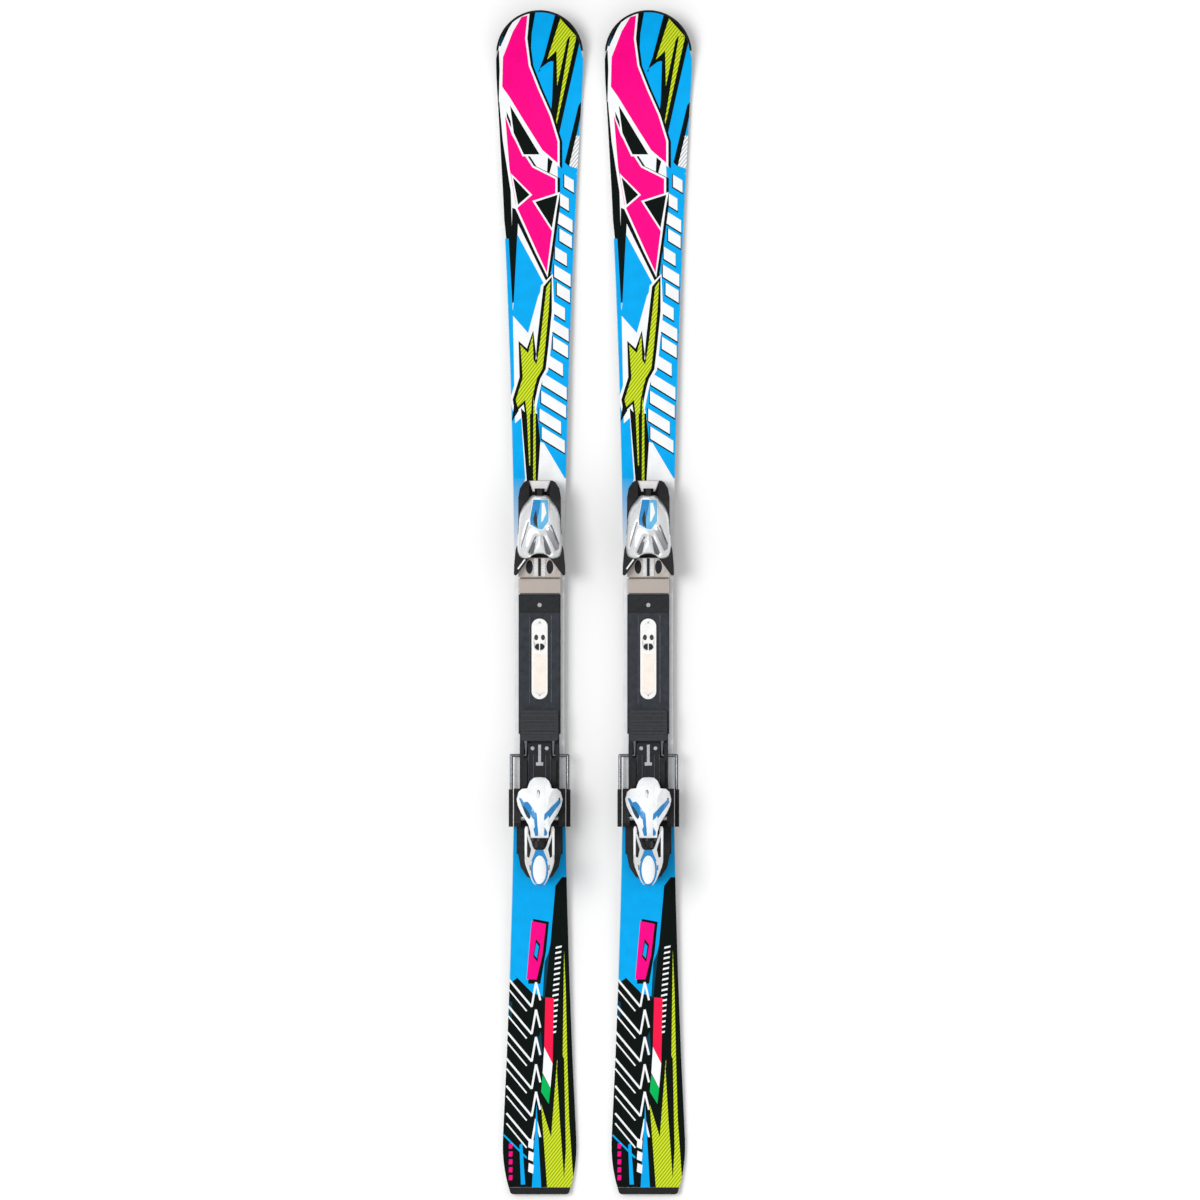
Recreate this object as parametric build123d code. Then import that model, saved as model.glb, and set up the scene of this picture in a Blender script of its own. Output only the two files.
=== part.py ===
"""A pair of alpine slalom skis, each with a plate, toe piece, brake and step-in heel piece.

Each ski is modelled once in its own frame: X across, +Y to the tip, +Z up from the snow.
The pair's frame lies midway between the two skis, midway from tail to tip, on the surface
that the running bases rest on. Lengths are in millimetres.
"""

import math
import os

from build123d import *

# ---- the pair ---------------------------------------------------------------------------
SKI_SPACING = 151.0  # centre line to centre line
SIDES = {"left": -SKI_SPACING / 2, "right": SKI_SPACING / 2}

# ---- ski outline, seen from above -------------------------------------------------------
HALF_LENGTH = 822.5
WAIST_Y, WAIST_HALF = -87.0, 34.0
SIDECUT_RADIUS = 12770.0
TAIL_SHOULDER_Y = -745.0  # the sidecut runs from here
SHOULDER_Y = 715.0  # to here
TIP_RADIUS = 60.4
TAIL_END_HALF = 41.5
TAIL_CORNER = 5.0

# ---- ski profile, seen from the side ----------------------------------------------------
REAR_CONTACT_Y, FRONT_CONTACT_Y = -775.0, 690.0
CAMBER = 3.5
BOTTOM_ENDS = (6.5, 52.0)  # height of the running surface at tail and tip
TOP_ENDS = (12.5, 58.0)  # height of the top surface at tail and tip
TOP_LINE = [  # y and z of the top surface between the contact points
    (REAR_CONTACT_Y, 7.0),
    (-560.0, 11.3),
    (-385.0, 16.2),
    (-87.0, 18.6),
    (170.0, 17.3),
    (400.0, 12.9),
    (600.0, 8.6),
    (FRONT_CONTACT_Y, 7.0),
]

# ---- ski layers -------------------------------------------------------------------------
BASE = 1.4
EDGE_WIDTH, EDGE_HEIGHT = 2.2, 2.0
EDGE_ANCHOR = 7.0  # how far in the edge's thin flange reaches
SHEET = 0.8
LAMINATE = 0.6
SIDEWALL = 8.0
GUARD_RIM = 3.0
TIP_GUARD_Y, TAIL_GUARD_Y = 766.0, -813.0
PLATE_SCREWS = [(x, y) for y in (-345.0, -158.0, 0.0, 140.0) for x in (-14.0, 14.0)]
PLATE_SCREW_R, PLATE_SCREW_TIP = 2.6, 9.5
SCREW_HEAD_R, SCREW_HEAD = 4.4, 2.6

# ---- plate and covers -------------------------------------------------------------------
PLATE_REAR, PLATE_FRONT = -362.0, 168.0
PLATE_TOP = 28.0
FLANGE_HALF, FLANGE_BOTTOM = 27.4, 24.0
PLATE_CORNER_X, PLATE_CORNER_Y = 16.0, 150.0  # where the bevel of each front corner ends
WEB_HALF = 24.0
REST_REAR, REST_FRONT, REST_TOP = 12.5, 32.5, 34.0
COVER_HALF, COVER_REAR, COVER_FRONT, COVER_TOP = 29.2, -183.0, 11.0, 32.5
WINDOW_REAR, WINDOW_FRONT, WINDOW_HALF = -134.8, -22.8, 11.1
WINDOW_FLOOR, WINDOW_TOP = 31.0, 33.2
WINDOW_SCREWS, WINDOW_SCREW_R = (-28.3, -129.3), 1.2
EYELET_X, EYELET_Y, EYELET_R = 4.7, -49.0, 2.75
DIAL_Y, DIAL_R = -61.0, 7.5
COVER_SCREW_Y, COVER_SCREW_R = -4.0, 2.8

# ---- toe piece --------------------------------------------------------------------------
SOLE_Z = 44.0  # the plane that the boot's sole stands on
TOE_REAR, TOE_FRONT, TOE_HALF = 63.5, 169.0, 29.6
TOE_FLOOR = 40.0
TOE_TOP = 82.0
WING_X, WING_Y = 21.0, 88.0  # the wings' upright pivots
WING_BOTTOM, WING_TOP = 46.0, 66.0
WING_HUB_R, WING_PIN_R = 7.0, 3.0
TOE_ROD_Z, TOE_ROD_R = 56.0, 3.5
TOE_NUT_REAR, TOE_NUT_FRONT = 129.0, 135.0
TOE_WALL_REAR, TOE_WALL_FRONT = 99.0, 104.0
AFD_REAR, AFD_FRONT, AFD_HALF = 35.0, 61.5, 29.6
AFD_BED, AFD_BOTTOM, AFD_DECK = 36.5, 37.0, 43.0
AFD_RAIL_Y = (46.0, 50.0)
AFD_RAIL_TOP = 39.5

# ---- heel piece -------------------------------------------------------------------------
CARRIAGE_FRONT, CARRIAGE_REAR, CARRIAGE_HALF = -196.0, -388.0, 32.0
CARRIAGE_BOTTOM, CARRIAGE_TOP = 28.2, 38.0
HEEL_RIB_X, HEEL_RIB_Y = (17.5, 23.0), (-255.0, -220.0)
SKIRT_BOTTOM = 21.5
CHEEK_REAR, CHEEK_FRONT, CHEEK_TOP = -312.0, -259.0, 62.0
CHEEK_INNER, CHEEK_OUTER = 26.0, 35.8
HEEL_PIVOT_Y, HEEL_PIVOT_Z, HEEL_PIN_R = -300.0, 56.0, 3.5
HEEL_ROD_Z, HEEL_ROD_R = 72.0, 3.5
HEEL_BORE_R = 9.7
HEEL_WALL_REAR, HEEL_WALL_FRONT = -301.0, -296.0
HEEL_NUT_REAR, HEEL_NUT_FRONT = -323.5, -318.0
LEVER_PIVOT_Y, LEVER_PIVOT_Z, LEVER_PIN_R = -316.0, 84.0, 3.0
LEVER_TILT = 26.0
LEVER_THICK = 5.0
LENGTH_SCREW_Z, LENGTH_SCREW_R = 33.0, 3.0

# ---- brake ------------------------------------------------------------------------------
BRAKE_AXLE_Y, BRAKE_AXLE_Z = -213.0, 33.5
BRAKE_WIRE_R = 2.25
BRAKE_LEG_X, BRAKE_ARM_X = 19.0, 39.3
BRAKE_SCREW_X, BRAKE_SCREW_Y, BRAKE_SCREW_R = 9.9, -203.0, 2.6
PEDAL_REAR, PEDAL_FRONT, PEDAL_HALF = -193.0, -150.0, 26.0
PEDAL_BOTTOM, PEDAL_TOP, PEDAL_WIRE_Z = 33.3, 43.0, 38.3
TIP_REAR, TIP_FRONT, TIP_HALF, TIP_HEIGHT = -312.0, -260.0, 3.0, 10.0

RUNNING = 0.1  # radial clearance of pins and rods that turn
GAP = 0.3  # space between pieces that move past each other


# ---- small helpers ----------------------------------------------------------------------
def block(x0, x1, y0, y1, z0, z1):
    """A box from its two corners."""
    centre = ((x0 + x1) / 2, (y0 + y1) / 2, (z0 + z1) / 2)
    return Pos(*centre) * Box(x1 - x0, y1 - y0, z1 - z0)


def both_blocks(x0, x1, y0, y1, z0, z1):
    """The same box on the right and on the left."""
    return block(x0, x1, y0, y1, z0, z1) + block(-x1, -x0, y0, y1, z0, z1)


def plan_prism(points, z0, z1):
    """An outline seen from above, drawn up from z0 to z1."""
    face = make_face(Polyline(*points, close=True))
    return extrude(Pos(0, 0, z0) * face, z1 - z0, dir=(0, 0, 1))


def side_prism(points, x0, x1):
    """An outline in y and z, drawn across from x0 to x1."""
    face = Plane.YZ.offset(x0) * make_face(Polyline(*points, close=True))
    return extrude(face, x1 - x0, dir=(1, 0, 0))


def front_prism(points, y0, y1):
    """An outline in x and z, drawn forward from y0 to y1."""
    outline = [(x, y0, z) for x, z in points]
    return extrude(make_face(Polyline(*outline, close=True)), y1 - y0, dir=(0, 1, 0))


def mirrored(points):
    """A symmetric outline from its right half, listed from one end to the other."""
    return points + [(-x, y) for x, y in reversed(points) if x > 0]


def rod_x(y, z, radius, x0, x1):
    """A cylinder across the ski."""
    return Pos((x0 + x1) / 2, y, z) * Rot(0, 90, 0) * Cylinder(radius, x1 - x0)


def rod_y(x, z, radius, y0, y1):
    """A cylinder along the ski."""
    return Pos(x, (y0 + y1) / 2, z) * Rot(90, 0, 0) * Cylinder(radius, y1 - y0)


def rod_z(x, y, radius, z0, z1):
    """An upright cylinder."""
    return Pos(x, y, (z0 + z1) / 2) * Cylinder(radius, z1 - z0)


def hex_y(z, across_flats, y0, y1):
    """A hexagonal bar along the ski, on its centre line."""
    face = RegularPolygon(across_flats / math.sqrt(3), 6)
    bar = extrude(face, y1 - y0)
    return Pos(0, y0, z) * Rot(-90, 0, 0) * bar


def rounded_slot(y0, y1, half, z0, z1):
    """A long slot with round ends, lying along the ski."""
    middle = block(-half, half, y0 + half, y1 - half, z0, z1)
    return middle + rod_z(0, y0 + half, half, z0, z1) + rod_z(0, y1 - half, half, z0, z1)


def coil_y(z, mean_radius, wire_radius, y0, y1, turns):
    """A compression spring along the ski, on its centre line."""
    length = y1 - y0 - 2 * wire_radius
    path = Helix(length / turns, length, mean_radius)
    start = path @ 0
    section = Plane(origin=start, z_dir=path % 0) * Circle(wire_radius)
    spring = sweep(section, path=path, is_frenet=True)
    return Pos(0, y0 + wire_radius, z) * Rot(-90, 0, 0) * spring


def group(*pieces):
    """Separate solids that share one node."""
    return Compound([solid for piece in pieces for solid in piece.solids()])


def wire_through(points, radius):
    """A bent round wire: straight runs with a ball at each bend."""
    wire = None
    for start, end in zip(points, points[1:]):
        start, end = Vector(*start), Vector(*end)
        run = end - start
        rod = Plane(origin=start, z_dir=run) * Pos(0, 0, run.length / 2) * Cylinder(radius, run.length)
        wire = rod if wire is None else wire + rod
    for bend in points[1:-1]:
        wire = wire + Pos(*bend) * Sphere(radius)
    return wire


# ---- the ski body -----------------------------------------------------------------------
def half_width(y):
    return WAIST_HALF + (y - WAIST_Y) ** 2 / (2 * SIDECUT_RADIUS)


def plan_solid(inset=0.0, y0=-HALF_LENGTH, y1=HALF_LENGTH):
    """The ski's outline moved in by inset, drawn up past the ski and kept between y0 and y1."""
    tail = (half_width(TAIL_SHOULDER_Y) - inset, TAIL_SHOULDER_Y)
    waist = (WAIST_HALF - inset, WAIST_Y)
    shoulder = (half_width(SHOULDER_Y) - inset, SHOULDER_Y)
    tip_y = HALF_LENGTH - TIP_RADIUS
    end_half, end_y = TAIL_END_HALF - inset, -HALF_LENGTH + inset
    side = ThreePointArc(tail, waist, shoulder)
    tip_side = TangentArc(shoulder, (TIP_RADIUS - inset, tip_y), tangent=side % 1)
    nose = CenterArc((0, tip_y), TIP_RADIUS - inset, 0, 90)
    tail_side = TangentArc(tail, (end_half, end_y + TAIL_CORNER), tangent=-(side % 0))
    corner = ThreePointArc(
        (end_half, end_y + TAIL_CORNER),
        (end_half - TAIL_CORNER * 0.3, end_y + TAIL_CORNER * 0.3),
        (end_half - TAIL_CORNER, end_y),
    )
    end = Line((end_half - TAIL_CORNER, end_y), (0, end_y))
    half = Curve() + [side, tip_side, nose, tail_side, corner, end]
    face = make_face(half + mirror(half, Plane.YZ))
    solid = extrude(Pos(0, 0, -20) * face, 120)
    if (y0, y1) == (-HALF_LENGTH, HALF_LENGTH):
        return solid
    y0 = y0 if y0 > -HALF_LENGTH else y0 - 10
    y1 = y1 if y1 < HALF_LENGTH else y1 + 10
    return solid & block(-80, 80, y0, y1, -30, 110)


def bottom_line(lift):
    """The running surface seen from the side, moved up by lift."""
    middle = ((REAR_CONTACT_Y + FRONT_CONTACT_Y) / 2, CAMBER)
    camber = ThreePointArc((REAR_CONTACT_Y, 0), middle, (FRONT_CONTACT_Y, 0))
    tip = TangentArc((FRONT_CONTACT_Y, 0), (HALF_LENGTH, BOTTOM_ENDS[1]), tangent=camber % 1)
    tail = TangentArc((REAR_CONTACT_Y, 0), (-HALF_LENGTH, BOTTOM_ENDS[0]), tangent=-(camber % 0))
    return Pos(0, lift) * (Curve() + [tail, camber, tip])


def top_line(lift):
    """The top surface seen from the side, moved up by lift."""
    middle = Spline(*TOP_LINE)
    tip = TangentArc(TOP_LINE[-1], (HALF_LENGTH, TOP_ENDS[1]), tangent=middle % 1)
    tail = TangentArc(TOP_LINE[0], (-HALF_LENGTH, TOP_ENDS[0]), tangent=-(middle % 0))
    return Pos(0, lift) * (Curve() + [tail, middle, tip])


def layer(lower, lower_lift, upper, upper_lift):
    """The slice between two long lines of the ski, wider than the ski."""
    ends = {bottom_line: BOTTOM_ENDS, top_line: TOP_ENDS}
    sides = [
        Line((y, ends[lower][i] + lower_lift), (y, ends[upper][i] + upper_lift))
        for i, y in enumerate((-HALF_LENGTH, HALF_LENGTH))
    ]
    face = make_face(lower(lower_lift) + upper(upper_lift) + sides)
    return extrude(Plane.YZ.offset(-80) * face, 160, dir=(1, 0, 0))


def region(*spans):
    """The ski's outline in lengthwise spans, each given as inset, rear end and front end."""
    whole = plan_solid(*spans[0])
    for span in spans[1:]:
        whole = whole + plan_solid(*span)
    return whole


def ski_body():
    """The laminated ski: base, edges, sidewalls, core, metal sheets, topsheet and end guards."""
    tip = (GUARD_RIM, TIP_GUARD_Y, HALF_LENGTH)
    full = region((0, TAIL_GUARD_Y, TIP_GUARD_Y), tip)
    between_edges = region((EDGE_WIDTH, TAIL_GUARD_Y, TIP_GUARD_Y), tip)
    between_flanges = region((EDGE_ANCHOR, TAIL_GUARD_Y, TIP_GUARD_Y), tip)
    core_plan = region((SIDEWALL, TAIL_GUARD_Y, TIP_GUARD_Y), tip)
    rim = plan_solid(0, TAIL_GUARD_Y, TIP_GUARD_Y)
    edge_strip = rim - plan_solid(EDGE_WIDTH)
    flange_strip = plan_solid(EDGE_WIDTH, TAIL_GUARD_Y, TIP_GUARD_Y) - plan_solid(EDGE_ANCHOR)
    wall_strip = rim - plan_solid(SIDEWALL)
    tip_rim = plan_solid(0, TIP_GUARD_Y, HALF_LENGTH) - plan_solid(GUARD_RIM)
    tail_strip = plan_solid(0, -HALF_LENGTH, TAIL_GUARD_Y)

    base_slice = layer(bottom_line, 0, bottom_line, BASE)
    edge_slice = layer(bottom_line, 0, bottom_line, EDGE_HEIGHT)
    lower_slice = layer(bottom_line, BASE, bottom_line, EDGE_HEIGHT)
    core_slice = layer(bottom_line, EDGE_HEIGHT, top_line, -SHEET - LAMINATE)
    upper_slice = layer(top_line, -SHEET - LAMINATE, top_line, -SHEET)
    sheet_slice = layer(top_line, -SHEET, top_line, 0)
    whole_slice = layer(bottom_line, 0, top_line, 0)
    screws = group(*[rod_z(x, y, PLATE_SCREW_R, PLATE_SCREW_TIP, 40) for x, y in PLATE_SCREWS])
    return {
        "running_base": base_slice & between_edges,
        "steel_edges": (edge_slice & edge_strip) + (lower_slice & flange_strip),
        "sidewalls": core_slice & wall_strip,
        "wood_core": (core_slice & core_plan) - screws,
        "metal_laminates": group((upper_slice & full) - screws, lower_slice & between_flanges),
        "topsheet": (sheet_slice & full) - screws,
        "end_guards": group(whole_slice & tip_rim, whole_slice & tail_strip),
    }


# ---- plate, cover and fasteners ---------------------------------------------------------
def plate_screw(x, y):
    """A flush screw through the plate into the core."""
    head = rod_z(x, y, SCREW_HEAD_R, PLATE_TOP - SCREW_HEAD, PLATE_TOP)
    return head + rod_z(x, y, PLATE_SCREW_R, PLATE_SCREW_TIP, PLATE_TOP)


def interface_plate():
    """The metal rail that both binding halves stand on, shaped to the ski's top."""
    web = block(-WEB_HALF, WEB_HALF, PLATE_REAR + 4, PLATE_FRONT - 4, 8, FLANGE_BOTTOM)
    flange = block(-FLANGE_HALF, FLANGE_HALF, PLATE_REAR, PLATE_FRONT, FLANGE_BOTTOM, PLATE_TOP)
    plan = mirrored([
        (0, PLATE_REAR),
        (FLANGE_HALF, PLATE_REAR),
        (FLANGE_HALF, PLATE_CORNER_Y),
        (PLATE_CORNER_X, PLATE_FRONT),
        (0, PLATE_FRONT),
    ])
    bevelled = plan_prism(plan, 8, PLATE_TOP)
    rest = block(-AFD_HALF, AFD_HALF, REST_REAR, REST_FRONT, PLATE_TOP, REST_TOP)
    nose_plan = mirrored([(0, 154), (9.5, 154), (15.0, TOE_FRONT), (0, TOE_FRONT)])
    nose_side = [(154, PLATE_TOP), (154, 46), (160, 46), (TOE_FRONT, 36), (TOE_FRONT, PLATE_TOP)]
    nose = plan_prism(nose_plan, PLATE_TOP, 50) & side_prism(nose_side, -20, 20)
    under_ski = layer(bottom_line, -30, top_line, 0)
    plate = ((web + flange) & bevelled) - under_ski + rest + nose
    for x, y in PLATE_SCREWS:
        plate = plate - plate_screw(x, y)
    return plate


def center_cover():
    """The plastic cover over the plate's middle, with the window's recess."""
    cover = block(-COVER_HALF, COVER_HALF, COVER_REAR, COVER_FRONT, PLATE_TOP, COVER_TOP)
    cover = chamfer(cover.edges().filter_by(Axis.Y).group_by(Axis.Z)[-1], 1.5)
    cover = cover - rounded_slot(
        WINDOW_REAR - 2, WINDOW_FRONT + 2, WINDOW_HALF + 2, WINDOW_FLOOR, COVER_TOP + 5
    )
    screw = rod_z(0, COVER_SCREW_Y, COVER_SCREW_R, 0, 50)
    return cover - screw


def scale_window():
    """The clear-edged scale plate let into the cover, with its two eyelets and its dial."""
    plate = rounded_slot(WINDOW_REAR, WINDOW_FRONT, WINDOW_HALF, WINDOW_FLOOR, WINDOW_TOP)
    dial = rod_z(0, DIAL_Y, DIAL_R, WINDOW_FLOOR + 0.8, 40) & block(-8, 8, -70, -57.5, 0, 50)
    plate = plate - (dial - block(-1, 1, -70, -50, 0, 50))
    for x in (-EYELET_X, EYELET_X):
        plate = plate - rod_z(x, EYELET_Y, EYELET_R, 0, 50)
    for y in WINDOW_SCREWS:
        plate = plate - rod_z(0, y, WINDOW_SCREW_R, 0, 50)
    return plate


def fasteners():
    """Plate screws, cover screw, window screws and the two upright wing pins."""
    pieces = [plate_screw(x, y) for x, y in PLATE_SCREWS]
    head = rod_z(0, COVER_SCREW_Y, COVER_SCREW_R, PLATE_TOP, COVER_TOP + 0.6)
    pieces.append(head - block(-0.4, 0.4, COVER_SCREW_Y - 2, COVER_SCREW_Y + 2, COVER_TOP, 50))
    for y in WINDOW_SCREWS:
        pieces.append(rod_z(0, y, WINDOW_SCREW_R, WINDOW_FLOOR, WINDOW_TOP + 0.3))
    for side in (-1, 1):
        pieces.append(rod_z(side * WING_X, WING_Y, WING_PIN_R, TOE_FLOOR - 4, WING_TOP + 5))
    return group(*pieces)


# ---- toe piece --------------------------------------------------------------------------
def toe_base():
    """The black foot of the toe piece: bed of the sliding plate, floor, and two shoulders."""
    outline = mirrored(
        [
            (0, TOE_REAR),
            (TOE_HALF, TOE_REAR),
            (TOE_HALF, 145),
            (27.5, 158),
            (22.0, 166.5),
            (18.0, TOE_FRONT),
            (15.0, TOE_FRONT),
            (9.5, 154.0),
            (0, 154.0),
        ]
    )
    floor = plan_prism(outline, PLATE_TOP, TOE_FLOOR)
    shoulders = plan_prism(outline, TOE_FLOOR, 62) - block(-60, 60, 40, 106, 0, 90)
    slope = side_prism([(106, 62), (140, 62), (171, 50), (171, 90), (106, 90)], -40, 40)
    shoulders = shoulders - slope - block(-14.5, 14.5, 100, 180, TOE_FLOOR, 90)
    dome_seat = plan_prism(dome_outline(GAP), TOE_FLOOR, 90)
    bed = block(-AFD_HALF, AFD_HALF, AFD_REAR, TOE_REAR, PLATE_TOP, AFD_BED)
    rail = block(-20, 20, AFD_RAIL_Y[0], AFD_RAIL_Y[1], AFD_BED, AFD_RAIL_TOP)
    base = floor + (shoulders - dome_seat) + bed + rail
    for side in (-1, 1):
        base = base - rod_z(side * WING_X, WING_Y, WING_PIN_R, TOE_FLOOR - 4, 60)
    return base


def dome_outline(grow=0.0):
    """The toe housing seen from above: narrow at the front, wide over the wings."""
    right = [
        (0, 62.5),
        (13.5, 62.5),
        (26.0, 62.0),
        (30.5, 67.0),
        (31.2, 80.0),
        (30.4, 95.0),
        (28.6, 122.0),
        (24.0, 133.5),
        (17.5, 142.5),
        (11.5, 148.5),
        (0, 148.5),
    ]
    return mirrored([(x + grow if x > 0 else 0, y) for x, y in right])


def toe_housing():
    """The metal shell over the toe piece's spring, rod and wing pivots."""
    outer = plan_prism(dome_outline(), TOE_FLOOR, TOE_TOP)
    side = [
        (60, TOE_FLOOR),
        (60, 74),
        (70, 79.5),
        (88, TOE_TOP),
        (104, 80.5),
        (122, 75),
        (138, 67),
        (149, 60),
        (149, TOE_FLOOR),
    ]
    across = mirrored([(0, TOE_TOP), (10, 81), (19, 77.5), (26, 72), (32, 64), (32, TOE_FLOOR)])
    shell = outer & side_prism(side, -40, 40) & front_prism(across, 50, 160)
    wing_room = block(-40, 40, 50, TOE_WALL_REAR, 0, WING_TOP + GAP)
    spring_room = block(-10.5, 10.5, TOE_WALL_FRONT, 139.5, 0, TOE_ROD_Z + 10.5)
    roof_room = block(-8.5, 8.5, 74, TOE_WALL_REAR, 0, 72)
    rod_hole = rod_y(0, TOE_ROD_Z, TOE_ROD_R + RUNNING, 90, 160)
    rear_arch = rod_z(0, 58.5, 14, 60, 90) & block(-20, 20, 50, 69, 60, 90)
    shell = shell - wing_room - spring_room - roof_room - rod_hole - rear_arch
    for side_sign in (-1, 1):
        shell = shell - rod_z(side_sign * WING_X, WING_Y, WING_PIN_R, 30, WING_TOP + 5)
    return shell


def toe_wing(side):
    """One wing of the toe cup, turning on its upright pin; side is +1 on the right."""
    outline = [
        (16.0, 84.0),
        (14.6, 70.0),
        (14.6, 61.0),
        (22.5, 50.5),
        (31.2, 38.2),
        (33.8, 36.8),
        (35.8, 38.6),
        (35.4, 52.0),
        (33.4, 73.0),
        (28.0, 89.0),
    ]
    wing = plan_prism(outline, WING_BOTTOM, WING_TOP)
    wing = wing - plan_prism([(10, 66), (28, 66), (34, 40), (20, 46), (10, 60)], 50, 61)
    hub = rod_z(WING_X, WING_Y, WING_HUB_R, WING_BOTTOM, WING_TOP)
    arm = block(9.5, WING_X, WING_Y - 1.6, WING_Y + 5.4, 51, 61)
    wing = wing + hub + arm - rod_z(WING_X, WING_Y, WING_PIN_R + RUNNING, 0, 90)
    return wing if side > 0 else mirror(wing, Plane.YZ)


def toe_spring():
    """The release spring, and the crosshead that carries its pull to both wings."""
    coil = coil_y(TOE_ROD_Z, 7.0, 1.5, TOE_WALL_FRONT + GAP, TOE_NUT_REAR - GAP, 5)
    head = block(-13, 13, 79.5, WING_Y - 1.6 - GAP, 51, 61)
    head = head - rod_y(0, TOE_ROD_Z, TOE_ROD_R + RUNNING, 70, 100)
    return group(coil, head)


def toe_setting_screw():
    """The screw that sets the toe's release, with its hexagonal head."""
    rod = rod_y(0, TOE_ROD_Z, TOE_ROD_R, 76.0, 150.0)
    head = hex_y(TOE_ROD_Z, 12.0, 149.0, 158.0)
    socket = hex_y(TOE_ROD_Z, 5.0, 154.0, 160.0)
    return rod + head - socket


def toe_setting_nut():
    """The nut that the toe's screw draws along to load the spring."""
    nut = block(-9, 9, TOE_NUT_REAR, TOE_NUT_FRONT, TOE_ROD_Z - 9, TOE_ROD_Z + 9)
    return nut - rod_y(0, TOE_ROD_Z, TOE_ROD_R + RUNNING, 120, 140)


def afd_plate():
    """The low-friction plate that slides sideways under the boot's toe."""
    slab = block(-AFD_HALF, AFD_HALF, AFD_REAR, AFD_FRONT, AFD_BOTTOM, AFD_DECK)
    groove = block(-27, 27, AFD_RAIL_Y[0] - GAP, AFD_RAIL_Y[1] + GAP, 30, AFD_RAIL_TOP + GAP)
    slab = slab - groove
    for side in (-1, 1):
        pocket = Pos(side * 14.0, 48.5, 0) * extrude(Ellipse(4.2, 9.5), 60)
        slab = slab - (pocket & block(-40, 40, 30, 70, AFD_RAIL_TOP + 1.3, 60))
    for side in (-1, 1):
        rail = block(2.0, 8.5, AFD_REAR, AFD_FRONT, AFD_DECK, SOLE_Z)
        ridge = plan_prism([(27, 50.5), (29, 48.5), (13.5, 35), (10.5, 35)], AFD_DECK, SOLE_Z)
        pair = rail + ridge
        slab = slab + (pair if side > 0 else mirror(pair, Plane.YZ))
    return slab


# ---- heel piece -------------------------------------------------------------------------
def heel_carriage():
    """The sliding foot of the heel piece: claws round the plate, cheeks and cam fork."""
    rear_plan = mirrored(
        [
            (0, CHEEK_FRONT),
            (CARRIAGE_HALF, CHEEK_FRONT),
            (CARRIAGE_HALF, -320),
            (30.0, -350),
            (26.5, -368),
            (18.0, -381),
            (8.0, -387),
            (0, CARRIAGE_REAR),
        ]
    )
    front = block(-27.6, 27.6, CHEEK_FRONT, CARRIAGE_FRONT, CARRIAGE_BOTTOM, CARRIAGE_TOP)
    rear = plan_prism(rear_plan, CARRIAGE_BOTTOM, CARRIAGE_TOP)
    foot = front + rear
    skirt = both_blocks(
        FLANGE_HALF + GAP, CARRIAGE_HALF, -350, CHEEK_FRONT, SKIRT_BOTTOM, CARRIAGE_BOTTOM
    )
    claw = both_blocks(
        WEB_HALF + 1, FLANGE_HALF + GAP, -350, CHEEK_FRONT, SKIRT_BOTTOM, FLANGE_BOTTOM - GAP
    )
    cheek_side = [
        (CHEEK_REAR, CARRIAGE_BOTTOM),
        (CHEEK_REAR, CHEEK_TOP - 4),
        (CHEEK_REAR + 5, CHEEK_TOP),
        (-284, CHEEK_TOP),
        (CHEEK_FRONT, 48),
        (CHEEK_FRONT, CARRIAGE_BOTTOM),
    ]
    cheeks = side_prism(cheek_side, CHEEK_INNER, CHEEK_OUTER)
    cheeks = cheeks + mirror(cheeks, Plane.YZ)
    fork = both_blocks(4.4, 8.4, -304, -288, CARRIAGE_TOP, 60)
    fork_head = [(-295, 59), (-294.6, 70), (-289, 79), (-282, 79), (-282, 62), (-288, 56)]
    lobes = side_prism(fork_head, 4.4, 8.4)
    ribs = both_blocks(*HEEL_RIB_X, *HEEL_RIB_Y, CARRIAGE_TOP, SOLE_Z)
    carriage = foot + skirt + claw + cheeks + ribs + fork + lobes + mirror(lobes, Plane.YZ)
    slot_half = BRAKE_WIRE_R + 0.35
    for side in (-1, 1):
        x = side * BRAKE_LEG_X
        slot = block(x - slot_half, x + slot_half, BRAKE_AXLE_Y - 3, -190, BRAKE_AXLE_Z - 2.8, 60)
        carriage = carriage - slot
        x0, x1 = sorted((x, side * 45))
        bore = rod_x(BRAKE_AXLE_Y, BRAKE_AXLE_Z, BRAKE_WIRE_R + RUNNING, x0, x1)
        carriage = carriage - bore
        carriage = carriage - rod_z(side * BRAKE_SCREW_X, BRAKE_SCREW_Y, BRAKE_SCREW_R, 33, 60)
    carriage = carriage - rod_x(HEEL_PIVOT_Y, HEEL_PIVOT_Z, HEEL_PIN_R, -50, 50)
    carriage = carriage - rod_y(0, LENGTH_SCREW_Z, LENGTH_SCREW_R + RUNNING, -400, -336)
    return carriage - rod_y(0, LENGTH_SCREW_Z, 5.0, -400, -383)


def heel_pins():
    """The housing's cross pin, the brake's two screws and the length lock's tongue."""
    cross = rod_x(HEEL_PIVOT_Y, HEEL_PIVOT_Z, HEEL_PIN_R, -CHEEK_OUTER, CHEEK_OUTER)
    pieces = [cross]
    for side in (-1, 1):
        screw_x = side * BRAKE_SCREW_X
        pieces.append(rod_z(screw_x, BRAKE_SCREW_Y, BRAKE_SCREW_R, 33, CARRIAGE_TOP + 1))
    tongue = block(-2, 2, -223, -198, CARRIAGE_TOP, CARRIAGE_TOP + 1.6)
    tongue = tongue + block(-5, 5, -227, -222.5, CARRIAGE_TOP, CARRIAGE_TOP + 1.6)
    pieces.append(tongue)
    return group(*pieces)


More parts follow.
